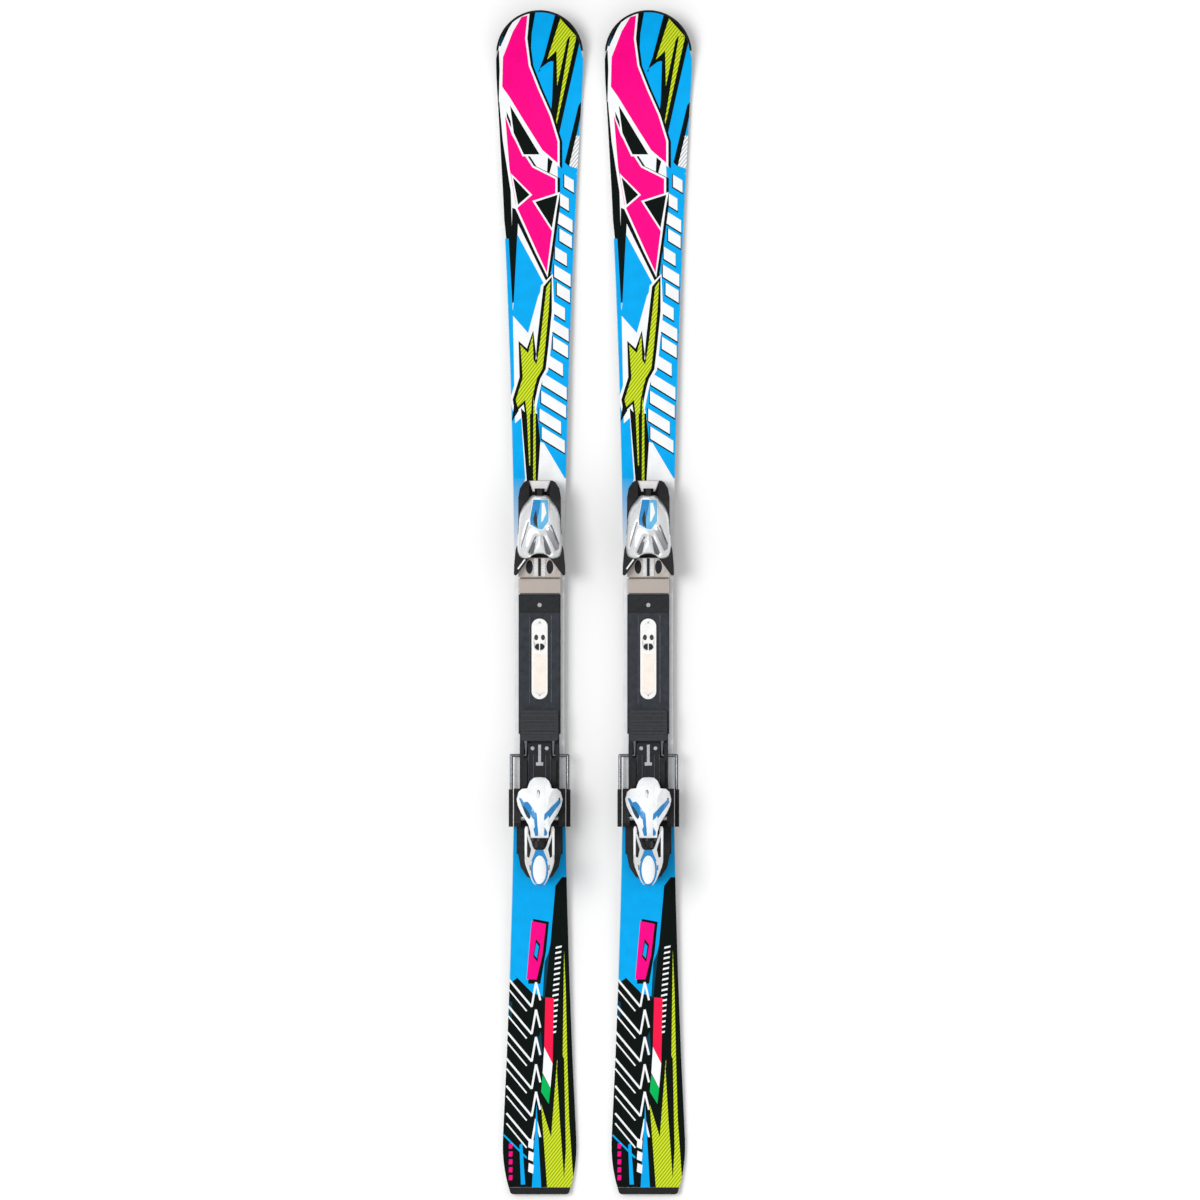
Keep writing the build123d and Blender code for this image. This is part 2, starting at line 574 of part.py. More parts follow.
def heel_housing():
    """The step-in heel cup, with the bores of its spring, cross pin and lever."""
    outline = mirrored(
        [
            (0, -243.6),
            (8.0, -244.2),
            (13.0, -249.0),
            (15.6, -258.5),
            (24.0, -259.5),
            (29.0, -264.0),
            (31.6, -274.0),
            (29.8, -283.0),
            (24.8, -293.5),
            (20.5, -300.0),
            (15.2, -309.0),
            (12.4, -320.0),
            (12.0, -327.0),
            (0, -327.0),
        ]
    )
    side = [
        (-246, 39.0),
        (-244, 43.6),
        (-256.5, 45.5),
        (-258.5, 74.0),
        (-243, 77.0),
        (-243, 83.0),
        (-254, 94.0),
        (-270, 101.0),
        (-290, 104.0),
        (-312, 101.5),
        (-327.5, 91.0),
        (-327.5, 60.0),
        (-312, 52.0),
        (-304, 45.0),
        (-290, 40.0),
        (-270, 39.0),
    ]
    across = mirrored(
        [
            (0, 104.0),
            (12.0, 102.0),
            (22.0, 94.0),
            (32.0, 78.0),
            (32.0, 66.0),
            (25.0, 62.5),
            (25.0, 38.0),
            (0, 38.0),
        ]
    )
    solid = plan_prism(outline, 30, 110) & side_prism(side, -40, 40) & front_prism(across, -330, -240)
    cavity = block(-11, 11, HEEL_WALL_FRONT, -263, 30, 84)
    rear_slot = block(-9, 9, -312, HEEL_WALL_FRONT, 30, HEEL_ROD_Z - HEEL_BORE_R)
    bore = rod_y(0, HEEL_ROD_Z, HEEL_BORE_R, -340, HEEL_WALL_REAR)
    rod_hole = rod_y(0, HEEL_ROD_Z, HEEL_ROD_R + RUNNING, -310, -290)
    solid = solid - cavity - rear_slot - bore - rod_hole
    solid = solid - rod_x(HEEL_PIVOT_Y, HEEL_PIVOT_Z, HEEL_PIN_R + RUNNING, -50, 50)
    for side_sign in (-1, 1):
        x0, x1 = sorted((side_sign * 11.4, side_sign * 20))
        solid = solid - rod_x(LEVER_PIVOT_Y, LEVER_PIVOT_Z, LEVER_PIN_R + RUNNING, x0, x1)
    return solid


def heel_spring():
    """The heel's release spring, and the follower that bears on the cam fork."""
    coil = coil_y(HEEL_ROD_Z, 7.2, 1.5, HEEL_NUT_FRONT + GAP, HEEL_WALL_REAR - GAP, 3)
    follower = block(-9.5, 9.5, -281.7, -275, HEEL_ROD_Z - 5, HEEL_ROD_Z + 5)
    follower = follower - rod_y(0, HEEL_ROD_Z, HEEL_ROD_R + RUNNING, -290, -270)
    return group(coil, follower)


def heel_setting_screw():
    """The screw that sets the heel's release, with its cap and slotted boss."""
    rod = rod_y(0, HEEL_ROD_Z, HEEL_ROD_R, -329.0, -271.0)
    cap = rod_y(0, HEEL_ROD_Z, 10.5, -332.0, -327.0 - GAP)
    boss = hex_y(HEEL_ROD_Z, 11.0, -341.0, -332.0)
    return rod + cap + boss - block(-0.8, 0.8, -345, -338, HEEL_ROD_Z - 8, HEEL_ROD_Z + 8)


def heel_setting_nut():
    """The nut that the heel's screw draws along to load the spring."""
    nut = block(-6.4, 6.4, HEEL_NUT_REAR, HEEL_NUT_FRONT, HEEL_ROD_Z - 6.4, HEEL_ROD_Z + 6.4)
    return nut - rod_y(0, HEEL_ROD_Z, HEEL_ROD_R + RUNNING, -330, -310)


def heel_lever():
    """The lever that opens the heel: two arms, an inner fork and a spoon, tilted up."""
    outer = mirrored(
        [
            (0, -87.5),
            (6.0, -86.0),
            (11.5, -79.0),
            (17.5, -66.0),
            (20.8, -52.0),
            (20.8, 0.0),
            (15.6, 0.0),
            (15.6, -6.0),
            (8.2, -29.0),
            (5.5, -32.0),
            (0, -32.0),
        ]
    )
    half_thick = LEVER_THICK / 2
    blade = plan_prism(outer, -half_thick, half_thick)
    for side in (-1, 1):
        gap = [(side * 17.6, -11.0), (side * 17.6, -44.0), (side * 14.0, -46.0), (side * 10.8, -31.0)]
        blade = blade - plan_prism(gap, -10, 10)
        x0, x1 = sorted((side * 15.6, side * 20.8))
        blade = blade + rod_x(0, 0, 5.2, x0, x1)
        x0, x1 = sorted((side * 11.7, side * 16.0))
        blade = blade + rod_x(0, 0, LEVER_PIN_R, x0, x1)
    blade = blade + Pos(0, -62, half_thick) * extrude(Ellipse(9.5, 21.0), 1.6, taper=20)
    return Pos(0, LEVER_PIVOT_Y, LEVER_PIVOT_Z) * Rot(-LEVER_TILT, 0, 0) * blade


def length_screw():
    """The worm that moves the heel piece to the boot's length."""
    rod = rod_y(0, LENGTH_SCREW_Z, LENGTH_SCREW_R, -386.0, -337.0)
    head = rod_y(0, LENGTH_SCREW_Z, 4.6, -388.0, -383.5)
    return rod + head - block(-0.6, 0.6, -390, -386.5, LENGTH_SCREW_Z - 4, LENGTH_SCREW_Z + 4)


# ---- brake ------------------------------------------------------------------------------
def brake_arms():
    """Two bent steel wires, each from the pedal through its bearing to the arm's tip."""
    wires = []
    for side in (-1, 1):
        leg, arm = side * BRAKE_LEG_X, side * BRAKE_ARM_X
        route = [
            (leg, PEDAL_FRONT - 8, PEDAL_WIRE_Z),
            (leg, PEDAL_REAR, PEDAL_WIRE_Z),
            (leg, BRAKE_AXLE_Y, BRAKE_AXLE_Z),
            (arm, BRAKE_AXLE_Y, BRAKE_AXLE_Z),
            (arm, TIP_REAR + 6, BRAKE_AXLE_Z),
        ]
        wires.append(wire_through(route, BRAKE_WIRE_R))
    return group(*wires)


def brake_pedal():
    """The ribbed pad that the boot presses down to lift the brake's arms."""
    pad = block(-PEDAL_HALF, PEDAL_HALF, PEDAL_REAR, PEDAL_FRONT, PEDAL_BOTTOM, PEDAL_TOP)
    pad = fillet(pad.edges().filter_by(Axis.Z), 4)
    for y in range(-186, -152, 6):
        pad = pad - block(-PEDAL_HALF + 4, PEDAL_HALF - 4, y, y + 2, PEDAL_TOP - 0.8, 60)
    return pad - brake_arms()


def brake_tips():
    """The plastic ends that dig into the snow."""
    tips = []
    for side in (-1, 1):
        x = side * (BRAKE_ARM_X + 0.6)
        tip = block(x - TIP_HALF, x + TIP_HALF, TIP_REAR, TIP_FRONT, 0, TIP_HEIGHT)
        tip = Pos(0, 0, BRAKE_AXLE_Z - TIP_HEIGHT / 2) * tip
        tip = fillet(tip.edges().filter_by(Axis.Y), 1.5)
        tips.append(tip - brake_arms())
    return group(*tips)


# ---- assembly ---------------------------------------------------------------------------
def one_ski():
    """Every piece of one ski in its own frame, by name."""
    pieces = ski_body()
    pieces["interface_plate"] = interface_plate()
    pieces["center_cover"] = center_cover()
    pieces["scale_window"] = scale_window()
    pieces["fasteners"] = fasteners()
    pieces["toe_base"] = toe_base()
    pieces["toe_housing"] = toe_housing()
    pieces["toe_wing_right"] = toe_wing(1)
    pieces["toe_wing_left"] = toe_wing(-1)
    pieces["toe_spring"] = toe_spring()
    pieces["toe_setting_screw"] = toe_setting_screw()
    pieces["toe_setting_nut"] = toe_setting_nut()
    pieces["afd_plate"] = afd_plate()
    pieces["heel_carriage"] = heel_carriage()
    pieces["heel_pins"] = heel_pins()
    pieces["heel_housing"] = heel_housing()
    pieces["heel_spring"] = heel_spring()
    pieces["heel_setting_screw"] = heel_setting_screw()
    pieces["heel_setting_nut"] = heel_setting_nut()
    pieces["heel_lever"] = heel_lever()
    pieces["length_screw"] = length_screw()
    pieces["brake_arms"] = brake_arms()
    pieces["brake_pedal"] = brake_pedal()
    pieces["brake_tips"] = brake_tips()
    return pieces


def main():
    os.makedirs("parts", exist_ok=True)
    for name, piece in one_ski().items():
        solids = piece.solids()
        shape = solids[0] if len(solids) == 1 else group(piece)
        for side, x in SIDES.items():
            export_step(Pos(x, 0, 0) * shape, f"parts/{side}_{name}.step")


main()
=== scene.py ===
"""The looks of a pair of alpine skis: printed topsheets, binding covers, materials, light, camera.

Tables of lengths are millimetres in one ski's own frame: x across, y towards the tip, z up.
Both skis carry the same artwork, so each mesh is made once and used on the left and the right.
"""

import math

import bpy
from mathutils import Matrix, Vector
from mathutils.bvhtree import BVHTree
from mathutils.geometry import delaunay_2d_cdt


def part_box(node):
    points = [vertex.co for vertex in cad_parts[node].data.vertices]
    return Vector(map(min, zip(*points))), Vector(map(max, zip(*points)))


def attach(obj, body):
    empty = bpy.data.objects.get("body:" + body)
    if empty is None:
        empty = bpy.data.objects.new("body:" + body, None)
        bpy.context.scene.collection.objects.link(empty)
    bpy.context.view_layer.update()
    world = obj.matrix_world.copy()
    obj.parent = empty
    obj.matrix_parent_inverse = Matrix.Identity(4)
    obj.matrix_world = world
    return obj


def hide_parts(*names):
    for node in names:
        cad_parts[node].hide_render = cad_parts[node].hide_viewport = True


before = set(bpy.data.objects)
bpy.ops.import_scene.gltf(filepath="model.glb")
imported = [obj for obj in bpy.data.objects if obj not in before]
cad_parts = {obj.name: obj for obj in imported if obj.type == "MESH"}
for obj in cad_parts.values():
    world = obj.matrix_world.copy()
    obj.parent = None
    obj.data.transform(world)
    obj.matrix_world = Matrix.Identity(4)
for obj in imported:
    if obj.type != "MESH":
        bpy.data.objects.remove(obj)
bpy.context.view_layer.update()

MM = 0.001
SIDES = ("left", "right")


# ---- palette ------------------------------------------------------------------------------
def linear(red, green, blue):
    """A display colour, 0 to 255, as linear light with an opaque alpha."""
    def channel(value):
        value = value / 255
        return value / 12.92 if value <= 0.04045 else ((value + 0.055) / 1.055) ** 2.4

    return (channel(red), channel(green), channel(blue), 1.0)


WHITE = linear(240, 242, 244)
CYAN = linear(0, 166, 236)
PINK = linear(248, 0, 132)
LIME = linear(208, 224, 40)
LIME_SHADE = linear(132, 156, 24)
INK = linear(2, 12, 8)
TEAL = linear(0, 62, 84)
RED = linear(244, 24, 74)
GREEN = linear(0, 178, 84)
SKY = linear(96, 182, 226)
BLUE = linear(0, 130, 196)


# ---- materials ----------------------------------------------------------------------------
class Finish:
    """One procedural material, with short ways to add the nodes that its detail needs."""

    def __init__(self, name, colour, metallic=0.0, coat=0.0, specular=0.5):
        self.material = bpy.data.materials.new(name)
        self.material.use_nodes = True
        self.tree = self.material.node_tree
        self.shader = self.tree.nodes["Principled BSDF"]
        self.shader.inputs["Base Color"].default_value = colour
        self.shader.inputs["Metallic"].default_value = metallic
        self.shader.inputs["Coat Weight"].default_value = coat
        self.shader.inputs["Coat Roughness"].default_value = 0.15
        self.shader.inputs["Specular IOR Level"].default_value = specular
        self.place = self.tree.nodes.new("ShaderNodeTexCoord").outputs["Object"]

    def link(self, output, socket):
        self.tree.links.new(output, socket)

    def stretched(self, scale):
        """The object's own coordinates, scaled differently along each axis."""
        mapping = self.tree.nodes.new("ShaderNodeMapping")
        mapping.inputs["Scale"].default_value = scale
        self.link(self.place, mapping.inputs["Vector"])
        return mapping.outputs["Vector"]

    def noise(self, scale, detail, stretch=(1, 1, 1)):
        """Smooth noise, which may be drawn out along an axis."""
        node = self.tree.nodes.new("ShaderNodeTexNoise")
        node.inputs["Scale"].default_value = scale
        node.inputs["Detail"].default_value = detail
        self.link(self.stretched(stretch), node.inputs["Vector"])
        return node.outputs["Fac"]

    def stripes(self, pitch, turn):
        """Straight parallel bands of the given pitch, turned about the vertical axis."""
        mapping = self.tree.nodes.new("ShaderNodeMapping")
        mapping.inputs["Rotation"].default_value = (0, 0, turn)
        self.link(self.place, mapping.inputs["Vector"])
        node = self.tree.nodes.new("ShaderNodeTexWave")
        node.inputs["Scale"].default_value = math.pi / (10 * pitch)
        node.inputs["Distortion"].default_value = 0.0
        self.link(mapping.outputs["Vector"], node.inputs["Vector"])
        return node.outputs["Fac"]

    def along_ski(self):
        """The distance along the ski, in metres."""
        split = self.tree.nodes.new("ShaderNodeSeparateXYZ")
        self.link(self.place, split.inputs["Vector"])
        return split.outputs["Y"]

    def spread(self, value, low, high, start=0.3, end=0.7):
        """A 0-to-1 pattern turned into the range from low to high."""
        node = self.tree.nodes.new("ShaderNodeMapRange")
        node.inputs["From Min"].default_value = start
        node.inputs["From Max"].default_value = end
        node.inputs["To Min"].default_value = low
        node.inputs["To Max"].default_value = high
        self.link(value, node.inputs["Value"])
        return node.outputs["Result"]

    def colours(self, pattern, first, second, start=0.35, end=0.65):
        """Base colour that goes from first to second with a pattern."""
        node = self.tree.nodes.new("ShaderNodeMix")
        node.data_type = "RGBA"
        ends = [socket for socket in node.inputs if socket.type == "RGBA"]
        ends[0].default_value = first
        ends[1].default_value = second
        result = [socket for socket in node.outputs if socket.type == "RGBA"][0]
        self.link(self.spread(pattern, 0.0, 1.0, start, end), node.inputs["Factor"])
        self.link(result, self.shader.inputs["Base Color"])

    def roughness(self, pattern, low, high):
        """Roughness that follows a pattern."""
        self.link(self.spread(pattern, low, high), self.shader.inputs["Roughness"])

    def bump(self, pattern, depth, strength):
        """Fine relief that follows a pattern."""
        node = self.tree.nodes.new("ShaderNodeBump")
        node.inputs["Distance"].default_value = depth
        node.inputs["Strength"].default_value = strength
        self.link(pattern, node.inputs["Height"])
        self.link(node.outputs["Normal"], self.shader.inputs["Normal"])

    def scratch(self):
        """Fine scratches along the ski, as handling leaves in a gloss film."""
        scratches = self.noise(900.0, 2.0, (1.0, 0.04, 1.0))
        self.roughness(scratches, 0.24, 0.36)
        self.bump(scratches, 0.02 * MM, 0.5)


def tinted(colour, factor):
    """The same colour, lighter or darker."""
    return tuple(min(1.0, c * factor) for c in colour[:3]) + (1.0,)


FILM_SPECULAR = 0.06
HATCH_PITCH, HATCH_TURN = 3.6 * MM, math.radians(38)


def printed_film(name, colour, shade=None):
    """Gloss film over ink: mottled, or hatched where a second shade is given."""
    finish = Finish(name, colour, specular=FILM_SPECULAR)
    if shade is None:
        finish.colours(finish.noise(60.0, 4.0), tinted(colour, 0.95), tinted(colour, 1.04))
    else:
        finish.colours(finish.stripes(HATCH_PITCH, HATCH_TURN), shade, colour, 0.2, 0.45)
    finish.scratch()
    return finish.material


def fading_print(name, near, far, y_near, y_far):
    """Printed film that fades from one colour to another along the ski."""
    finish = Finish(name, near, specular=FILM_SPECULAR)
    finish.colours(finish.along_ski(), far, near, y_far * MM, y_near * MM)
    finish.scratch()
    return finish.material


def moulded(name, colour, low=0.42, high=0.6, grain=0.05):
    """Moulded plastic with a fine spark-eroded grain and faint handling marks."""
    finish = Finish(name, colour, specular=0.22)
    finish.colours(finish.noise(140.0, 5.0), tinted(colour, 0.8), tinted(colour, 1.3))
    grains = finish.noise(1800.0, 2.0)
    finish.roughness(finish.noise(220.0, 4.0), low, high)
    finish.bump(grains, grain * MM, 0.6)
    return finish.material


def ribbed(name, colour, pitch):
    """Moulded plastic with cross ribs that grip the boot."""
    finish = Finish(name, colour)
    finish.colours(finish.noise(160.0, 4.0), tinted(colour, 0.75), tinted(colour, 1.4))
    finish.roughness(finish.noise(260.0, 3.0), 0.45, 0.62)
    finish.bump(finish.stripes(pitch, math.radians(90)), 0.5 * MM, 0.7)
    return finish.material


def gloss_moulding(name, colour):
    """Gloss plastic with a slight orange-peel skin."""
    finish = Finish(name, colour, coat=0.5)
    finish.colours(finish.noise(90.0, 4.0), tinted(colour, 0.96), tinted(colour, 1.03))
    finish.roughness(finish.noise(300.0, 3.0), 0.2, 0.34)
    finish.bump(finish.noise(420.0, 2.0), 0.03 * MM, 0.5)
    return finish.material


def metal(name, colour, low, high, stretch=(1, 1, 1)):
    """Metal whose brushed, blasted or ground grain comes from one stretched noise."""
    finish = Finish(name, colour, metallic=1.0)
    finish.colours(finish.noise(50.0, 5.0), tinted(colour, 0.86), tinted(colour, 1.08))
    lines = finish.noise(700.0, 3.0, stretch)
    finish.roughness(lines, low, high)
    finish.bump(lines, 0.02 * MM, 0.6)
    return finish.material


def lacquered_metal(name, colour):
    """Cast metal under silver lacquer with fine flake."""
    finish = Finish(name, colour, metallic=0.45, coat=0.3)
    finish.colours(finish.noise(2600.0, 2.0), tinted(colour, 0.82), tinted(colour, 1.12))
    finish.roughness(finish.noise(200.0, 4.0), 0.26, 0.38)
    finish.bump(finish.noise(500.0, 3.0), 0.03 * MM, 0.4)
    return finish.material


def two_tone_metal(name, front, rear, y_change):
    """Blasted metal, darker behind one line across the ski."""
    finish = Finish(name, front, metallic=1.0)
    finish.colours(finish.along_ski(), rear, front, (y_change - 0.5) * MM, (y_change + 0.5) * MM)
    grain = finish.noise(1600.0, 3.0)
    finish.roughness(grain, 0.38, 0.52)
    finish.bump(grain, 0.03 * MM, 0.6)
    return finish.material


def wood(name):
    """Strips of pale wood glued side by side, with grain along the ski."""
    light, dark = linear(214, 182, 134), linear(160, 116, 72)
    finish = Finish(name, light)
    finish.colours(finish.noise(220.0, 6.0, (1.0, 0.05, 1.0)), light, dark)
    finish.roughness(finish.noise(300.0, 3.0), 0.5, 0.7)
    return finish.material


INKS = {
    "white": printed_film("film_white", WHITE),
    "cyan": printed_film("film_cyan", CYAN),
    "pink": printed_film("film_pink", PINK),
    "lime": printed_film("film_lime", LIME, LIME_SHADE),
    "ink": printed_film("film_ink", INK),
    "teal": printed_film("film_teal", TEAL),
    "red": printed_film("film_red", RED),
    "green": printed_film("film_green", GREEN),
    "hatch": printed_film("film_hatch", WHITE, linear(170, 176, 178)),
    "cyan_fade": fading_print("film_cyan_fade", CYAN, WHITE, 175, 60),
}
FITTINGS = {
    "silver": lacquered_metal("silver_lacquer", linear(232, 233, 234)),
    # painted shade: two darker copies of the silver lacquer, for the toe cover's shaded right side and
    # its scoops
    "mid_silver": lacquered_metal("lacquer_painted_shade", linear(156, 156, 160)),
    "dark_silver": lacquered_metal("lacquer_painted_deep_shade", linear(116, 118, 122)),
    "blue": gloss_moulding("gloss_blue", BLUE),
    "sky": gloss_moulding("gloss_sky", SKY),
    "gloss_white": gloss_moulding("gloss_white", linear(242, 244, 246)),
    "gloss_black": gloss_moulding("gloss_black", linear(12, 13, 15)),
    "pale": gloss_moulding("pale_grey", linear(228, 224, 226)),
    "teal_gloss": gloss_moulding("gloss_teal", TEAL),
    "beige": gloss_moulding("window_beige", linear(244, 232, 222)),
    "soft_black": moulded("soft_black", linear(24, 26, 30)),
    # painted highlight: lighter grey on thin raised ribs, standing in for the light on their tops
    "cover_rib": moulded("cover_rib", linear(66, 72, 80)),
    "bright_steel": metal("bright_steel", linear(212, 212, 214), 0.18, 0.32),
}
PLATE_COLOUR_CHANGE = 11.5  # along the ski, where the plate goes from dark to bare metal
SLOT_FINISHES = {
    "running_base": moulded("sintered_base", linear(30, 32, 38), 0.3, 0.45, 0.02),
    "edge_steel": metal("ground_edge", linear(206, 208, 212), 0.18, 0.34, (1, 0.03, 1)),
    "sidewall": moulded("milled_sidewall", linear(28, 30, 34), 0.35, 0.5),
    "wood_core": wood("laminated_wood"),
    "laminate": metal("rolled_sheet", linear(214, 216, 220), 0.25, 0.4, (1, 0.05, 1)),
    "topsheet": INKS["white"],
    "end_guard": moulded("guard_black", linear(16, 16, 18)),
    "plate_metal": two_tone_metal(
        "blasted_plate", linear(158, 149, 143), linear(44, 48, 54), PLATE_COLOUR_CHANGE
    ),
    "screw_steel": metal("zinc_screw", linear(168, 168, 172), 0.2, 0.36),
    "cover_plastic": moulded("cover_black", linear(38, 42, 49)),
    "window_plastic": gloss_moulding("window_white", linear(240, 240, 238)),
    "binding_black": moulded("binding_black", linear(24, 24, 27)),
    "housing_silver": FITTINGS["silver"],
    "wing_black": moulded("wing_black", linear(17, 17, 19), 0.3, 0.46),
    "spring_steel": metal("spring_steel", linear(150, 150, 154), 0.24, 0.4),
    "setting_screw_black": moulded("black_oxide", linear(20, 20, 22), 0.28, 0.42, 0.02),
    "nut_brass": metal("turned_brass", linear(212, 176, 96), 0.2, 0.34, (1, 1, 8)),
    "afd_metal": metal("pressed_steel", linear(172, 164, 158), 0.26, 0.42, (1, 0.06, 1)),
    "pedal_plastic": ribbed("pedal_black", linear(20, 22, 28), 4.2 * MM),
    "wire_steel": metal("bright_wire", linear(118, 120, 126), 0.2, 0.34),
    "brake_tip_plastic": moulded("tip_black", linear(18, 18, 20)),
    "housing_white": FITTINGS["gloss_white"],
    "lever_blue": FITTINGS["silver"],
}


# ---- plan shapes --------------------------------------------------------------------------
def turned_left(points):
    """The same outline, running anticlockwise."""
    area = sum(a[0] * b[1] - b[0] * a[1] for a, b in zip(points, points[1:] + points[:1]))
    return points if area > 0 else points[::-1]


def grown(points, margin, sharpest=2.4):
    """An outline pushed outward by a margin, with its sharp corners cut short."""
    points = turned_left(points)
    result = []
    for before, point, after in zip(points[-1:] + points[:-1], points, points[1:] + points[:1]):
        into = (Vector(point) - Vector(before)).normalized()
        out = (Vector(after) - Vector(point)).normalized()
        normal_in = Vector((into.y, -into.x))
        normal_out = Vector((out.y, -out.x))
        middle = (normal_in + normal_out).normalized()
        reach = min(sharpest, 1 / max(0.05, middle.dot(normal_in)))
        result.append(tuple(Vector(point) + middle * margin * reach))
    return result


def mirrored(points):
    """A symmetric outline from its right half."""
    return points + [(-x, y) for x, y in reversed(points) if x > 0]


def moved(points, dx, dy):
    """The outline, shifted."""
    return [(x + dx, y + dy) for x, y in points]


def repeated(points, pitch, count):
    """The same outline again and again, towards the tail."""
    return [moved(points, 0, -pitch * index) for index in range(count)]


def stroke(points, width):
    """A line of one width along some points."""
    left, right = [], []
    for index, point in enumerate(points):
        start = points[max(0, index - 1)]
        end = points[min(len(points) - 1, index + 1)]
        along = (Vector(end) - Vector(start)).normalized()
        aside = Vector((-along.y, along.x)) * width / 2
        left.append(tuple(Vector(point) + aside))
        right.append(tuple(Vector(point) - aside))
    return left + right[::-1]


def oval(x, y, half_x, half_y, count=32):
    """An ellipse with its axes along x and y."""
    turns = [2 * math.pi * index / count for index in range(count)]
    return [(x + half_x * math.cos(t), y + half_y * math.sin(t)) for t in turns]


def blend_line(points, value):
    """The value, between listed points, of a line that joins them."""
    if value <= points[0][0]:
        return points[0][1]
    for (x0, y0), (x1, y1) in zip(points, points[1:]):
        if value <= x1:
            share = (value - x0) / (x1 - x0)
            return y0 + (y1 - y0) * share
    return points[-1][1]


def distance_to_line(x, y, start, end):
    """How far a point lies from a line between two ends."""
    run_x, run_y = end[0] - start[0], end[1] - start[1]
    share = ((x - start[0]) * run_x + (y - start[1]) * run_y) / (run_x**2 + run_y**2)
    share = min(1.0, max(0.0, share))
    return math.hypot(x - start[0] - share * run_x, y - start[1] - share * run_y)


def distance_to_rim(x, y, outline):
    """How far a point lies from the nearest side of an outline."""
    pairs = zip(outline, outline[1:] + outline[:1])
    return min(distance_to_line(x, y, start, end) for start, end in pairs)


def inside(x, y, outline):
    """Whether a point lies inside an outline."""
    hit = False
    for (x0, y0), (x1, y1) in zip(outline, outline[1:] + outline[:1]):
        if (y0 > y) != (y1 > y) and x < x0 + (y - y0) * (x1 - x0) / (y1 - y0):
            hit = not hit
    return hit


def scooped(z, x, y, scoops):
    """A height with smooth hollows sunk into it along short lines."""
    for start, end, half, depth in scoops:
        distance = distance_to_line(x, y, start, end)
        z -= depth * math.exp(-((distance / half) ** 2))
    return z


def rolled(distance, radius):
    """How far a rounded edge lies below the full height, this far in from the rim."""
    if distance >= radius:
        return 0.0
    share = 1 - distance / radius
    return radius * (1 - math.sqrt(max(0.0, 1 - share * share)))


# ---- meshes -------------------------------------------------------------------------------
THINNEST = 0.3
PLAN_TOLERANCE = 1e-4
RIM_CLEARANCE = 0.3  # share of the spacing kept free of inner points along a rim
SHARP_ANGLE = math.radians(35)


def relief(name, outline, art, height, underside, palette, spacing=0.0, lines=()):
    """A closed mesh from a plan. Coloured areas lie on the outline, later ones on top, and a
    colour of None cuts a hole. height and underside give the top and bottom z at a point. The
    spacing of a grid of inner points, or lines across the plan, let a curved top follow them."""
    outline = turned_left(outline)
    base_colour, areas = art[0], art[1:]
    points = [Vector(point) for point in outline]
    loops = [list(range(len(points)))]
    for _, area in areas:
        first = len(points)
        points += [Vector(point) for point in turned_left(area)]
        loops.append(list(range(first, len(points))))
    edges = []
    for start, end in lines:
        edges.append((len(points), len(points) + 1))
        points += [Vector(start), Vector(end)]
    if spacing:
        clearance = RIM_CLEARANCE * spacing
        low_x, high_x = min(p[0] for p in outline), max(p[0] for p in outline)
        low_y, high_y = min(p[1] for p in outline), max(p[1] for p in outline)
        for row in range(int((high_y - low_y) / spacing)):
            for column in range(int((high_x - low_x) / spacing) + 1):
                x = low_x + (column + 0.5 * (row % 2)) * spacing
                y = low_y + (row + 0.5) * spacing
                if inside(x, y, outline) and distance_to_rim(x, y, outline) > clearance:
                    points.append(Vector((x, y)))
    plan, _, faces, _, _, owners = delaunay_2d_cdt(points, edges, loops, 1, PLAN_TOLERANCE)
    colours, kept = [], []
    for face, owner in zip(faces, owners):
        if 0 not in owner:
            continue
        topmost = max(owner)
        colour = base_colour if topmost == 0 else areas[topmost - 1][0]
        if colour is not None:
            kept.append(face)
            colours.append(colour)
    used = sorted({index for face in kept for index in face})
    place = {index: number for number, index in enumerate(used)}
    top = [(plan[i].x, plan[i].y, height(plan[i].x, plan[i].y)) for i in used]
    bottom = [(x, y, min(z - THINNEST, underside(x, y))) for x, y, z in top]
    count = len(used)
    all_faces, all_colours, rim = [], [], {}
    for face, colour in zip(kept, colours):
        ring = [place[index] for index in face]
        all_faces += [ring, [index + count for index in reversed(ring)]]
        all_colours += [colour, colour]
        for a, b in zip(ring, ring[1:] + ring[:1]):
            rim[(a, b)] = colour
    for (a, b), colour in rim.items():
        if (b, a) not in rim:
            all_faces.append([b, a, a + count, b + count])
            all_colours.append(colour)
    mesh = bpy.data.meshes.new(name)
    mesh.from_pydata([Vector(point) * MM for point in top + bottom], [], all_faces)
    names = sorted(set(all_colours))
    for colour in names:
        mesh.materials.append(palette[colour])
    for polygon, colour in zip(mesh.polygons, all_colours):
        polygon.material_index = names.index(colour)
    finish_mesh(mesh)
    return mesh


def finish_mesh(mesh):
    """Smooth shading, apart from real corners."""
    mesh.validate()
    mesh.polygons.foreach_set("use_smooth", [True] * len(mesh.polygons))
    mesh.set_sharp_from_angle(angle=SHARP_ANGLE)
    mesh.update()


def pad(name, outline, low, high, material_name, edge):
    """A low flat piece between two heights, its upper edge rounded by the last argument."""
    outline = turned_left(outline)

    def height(x, y):
        return high - rolled(distance_to_rim(x, y, outline), edge)

    inner = grown(outline, -edge)
    art = [material_name, (material_name, inner)]
    return relief(name, outline, art, height, lambda x, y: low, FITTINGS)


def both_sides(name, mesh, body, replaced=None):
    """Places one mesh on the left ski and on the right ski."""
    for side in SIDES:
        piece = bpy.data.objects.new(f"{side}_{name}", mesh)
        bpy.context.scene.collection.objects.link(piece)
        piece.location.x = CENTRES[side]
        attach(piece, f"{side}_{body}")
        if replaced:
            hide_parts(f"{side}_{replaced}")


def middle_x(node):
    """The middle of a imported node's box, across the skis."""
    low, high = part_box(node)
    return (low.x + high.x) / 2


CENTRES = {side: middle_x(f"{side}_interface_plate") for side in SIDES}


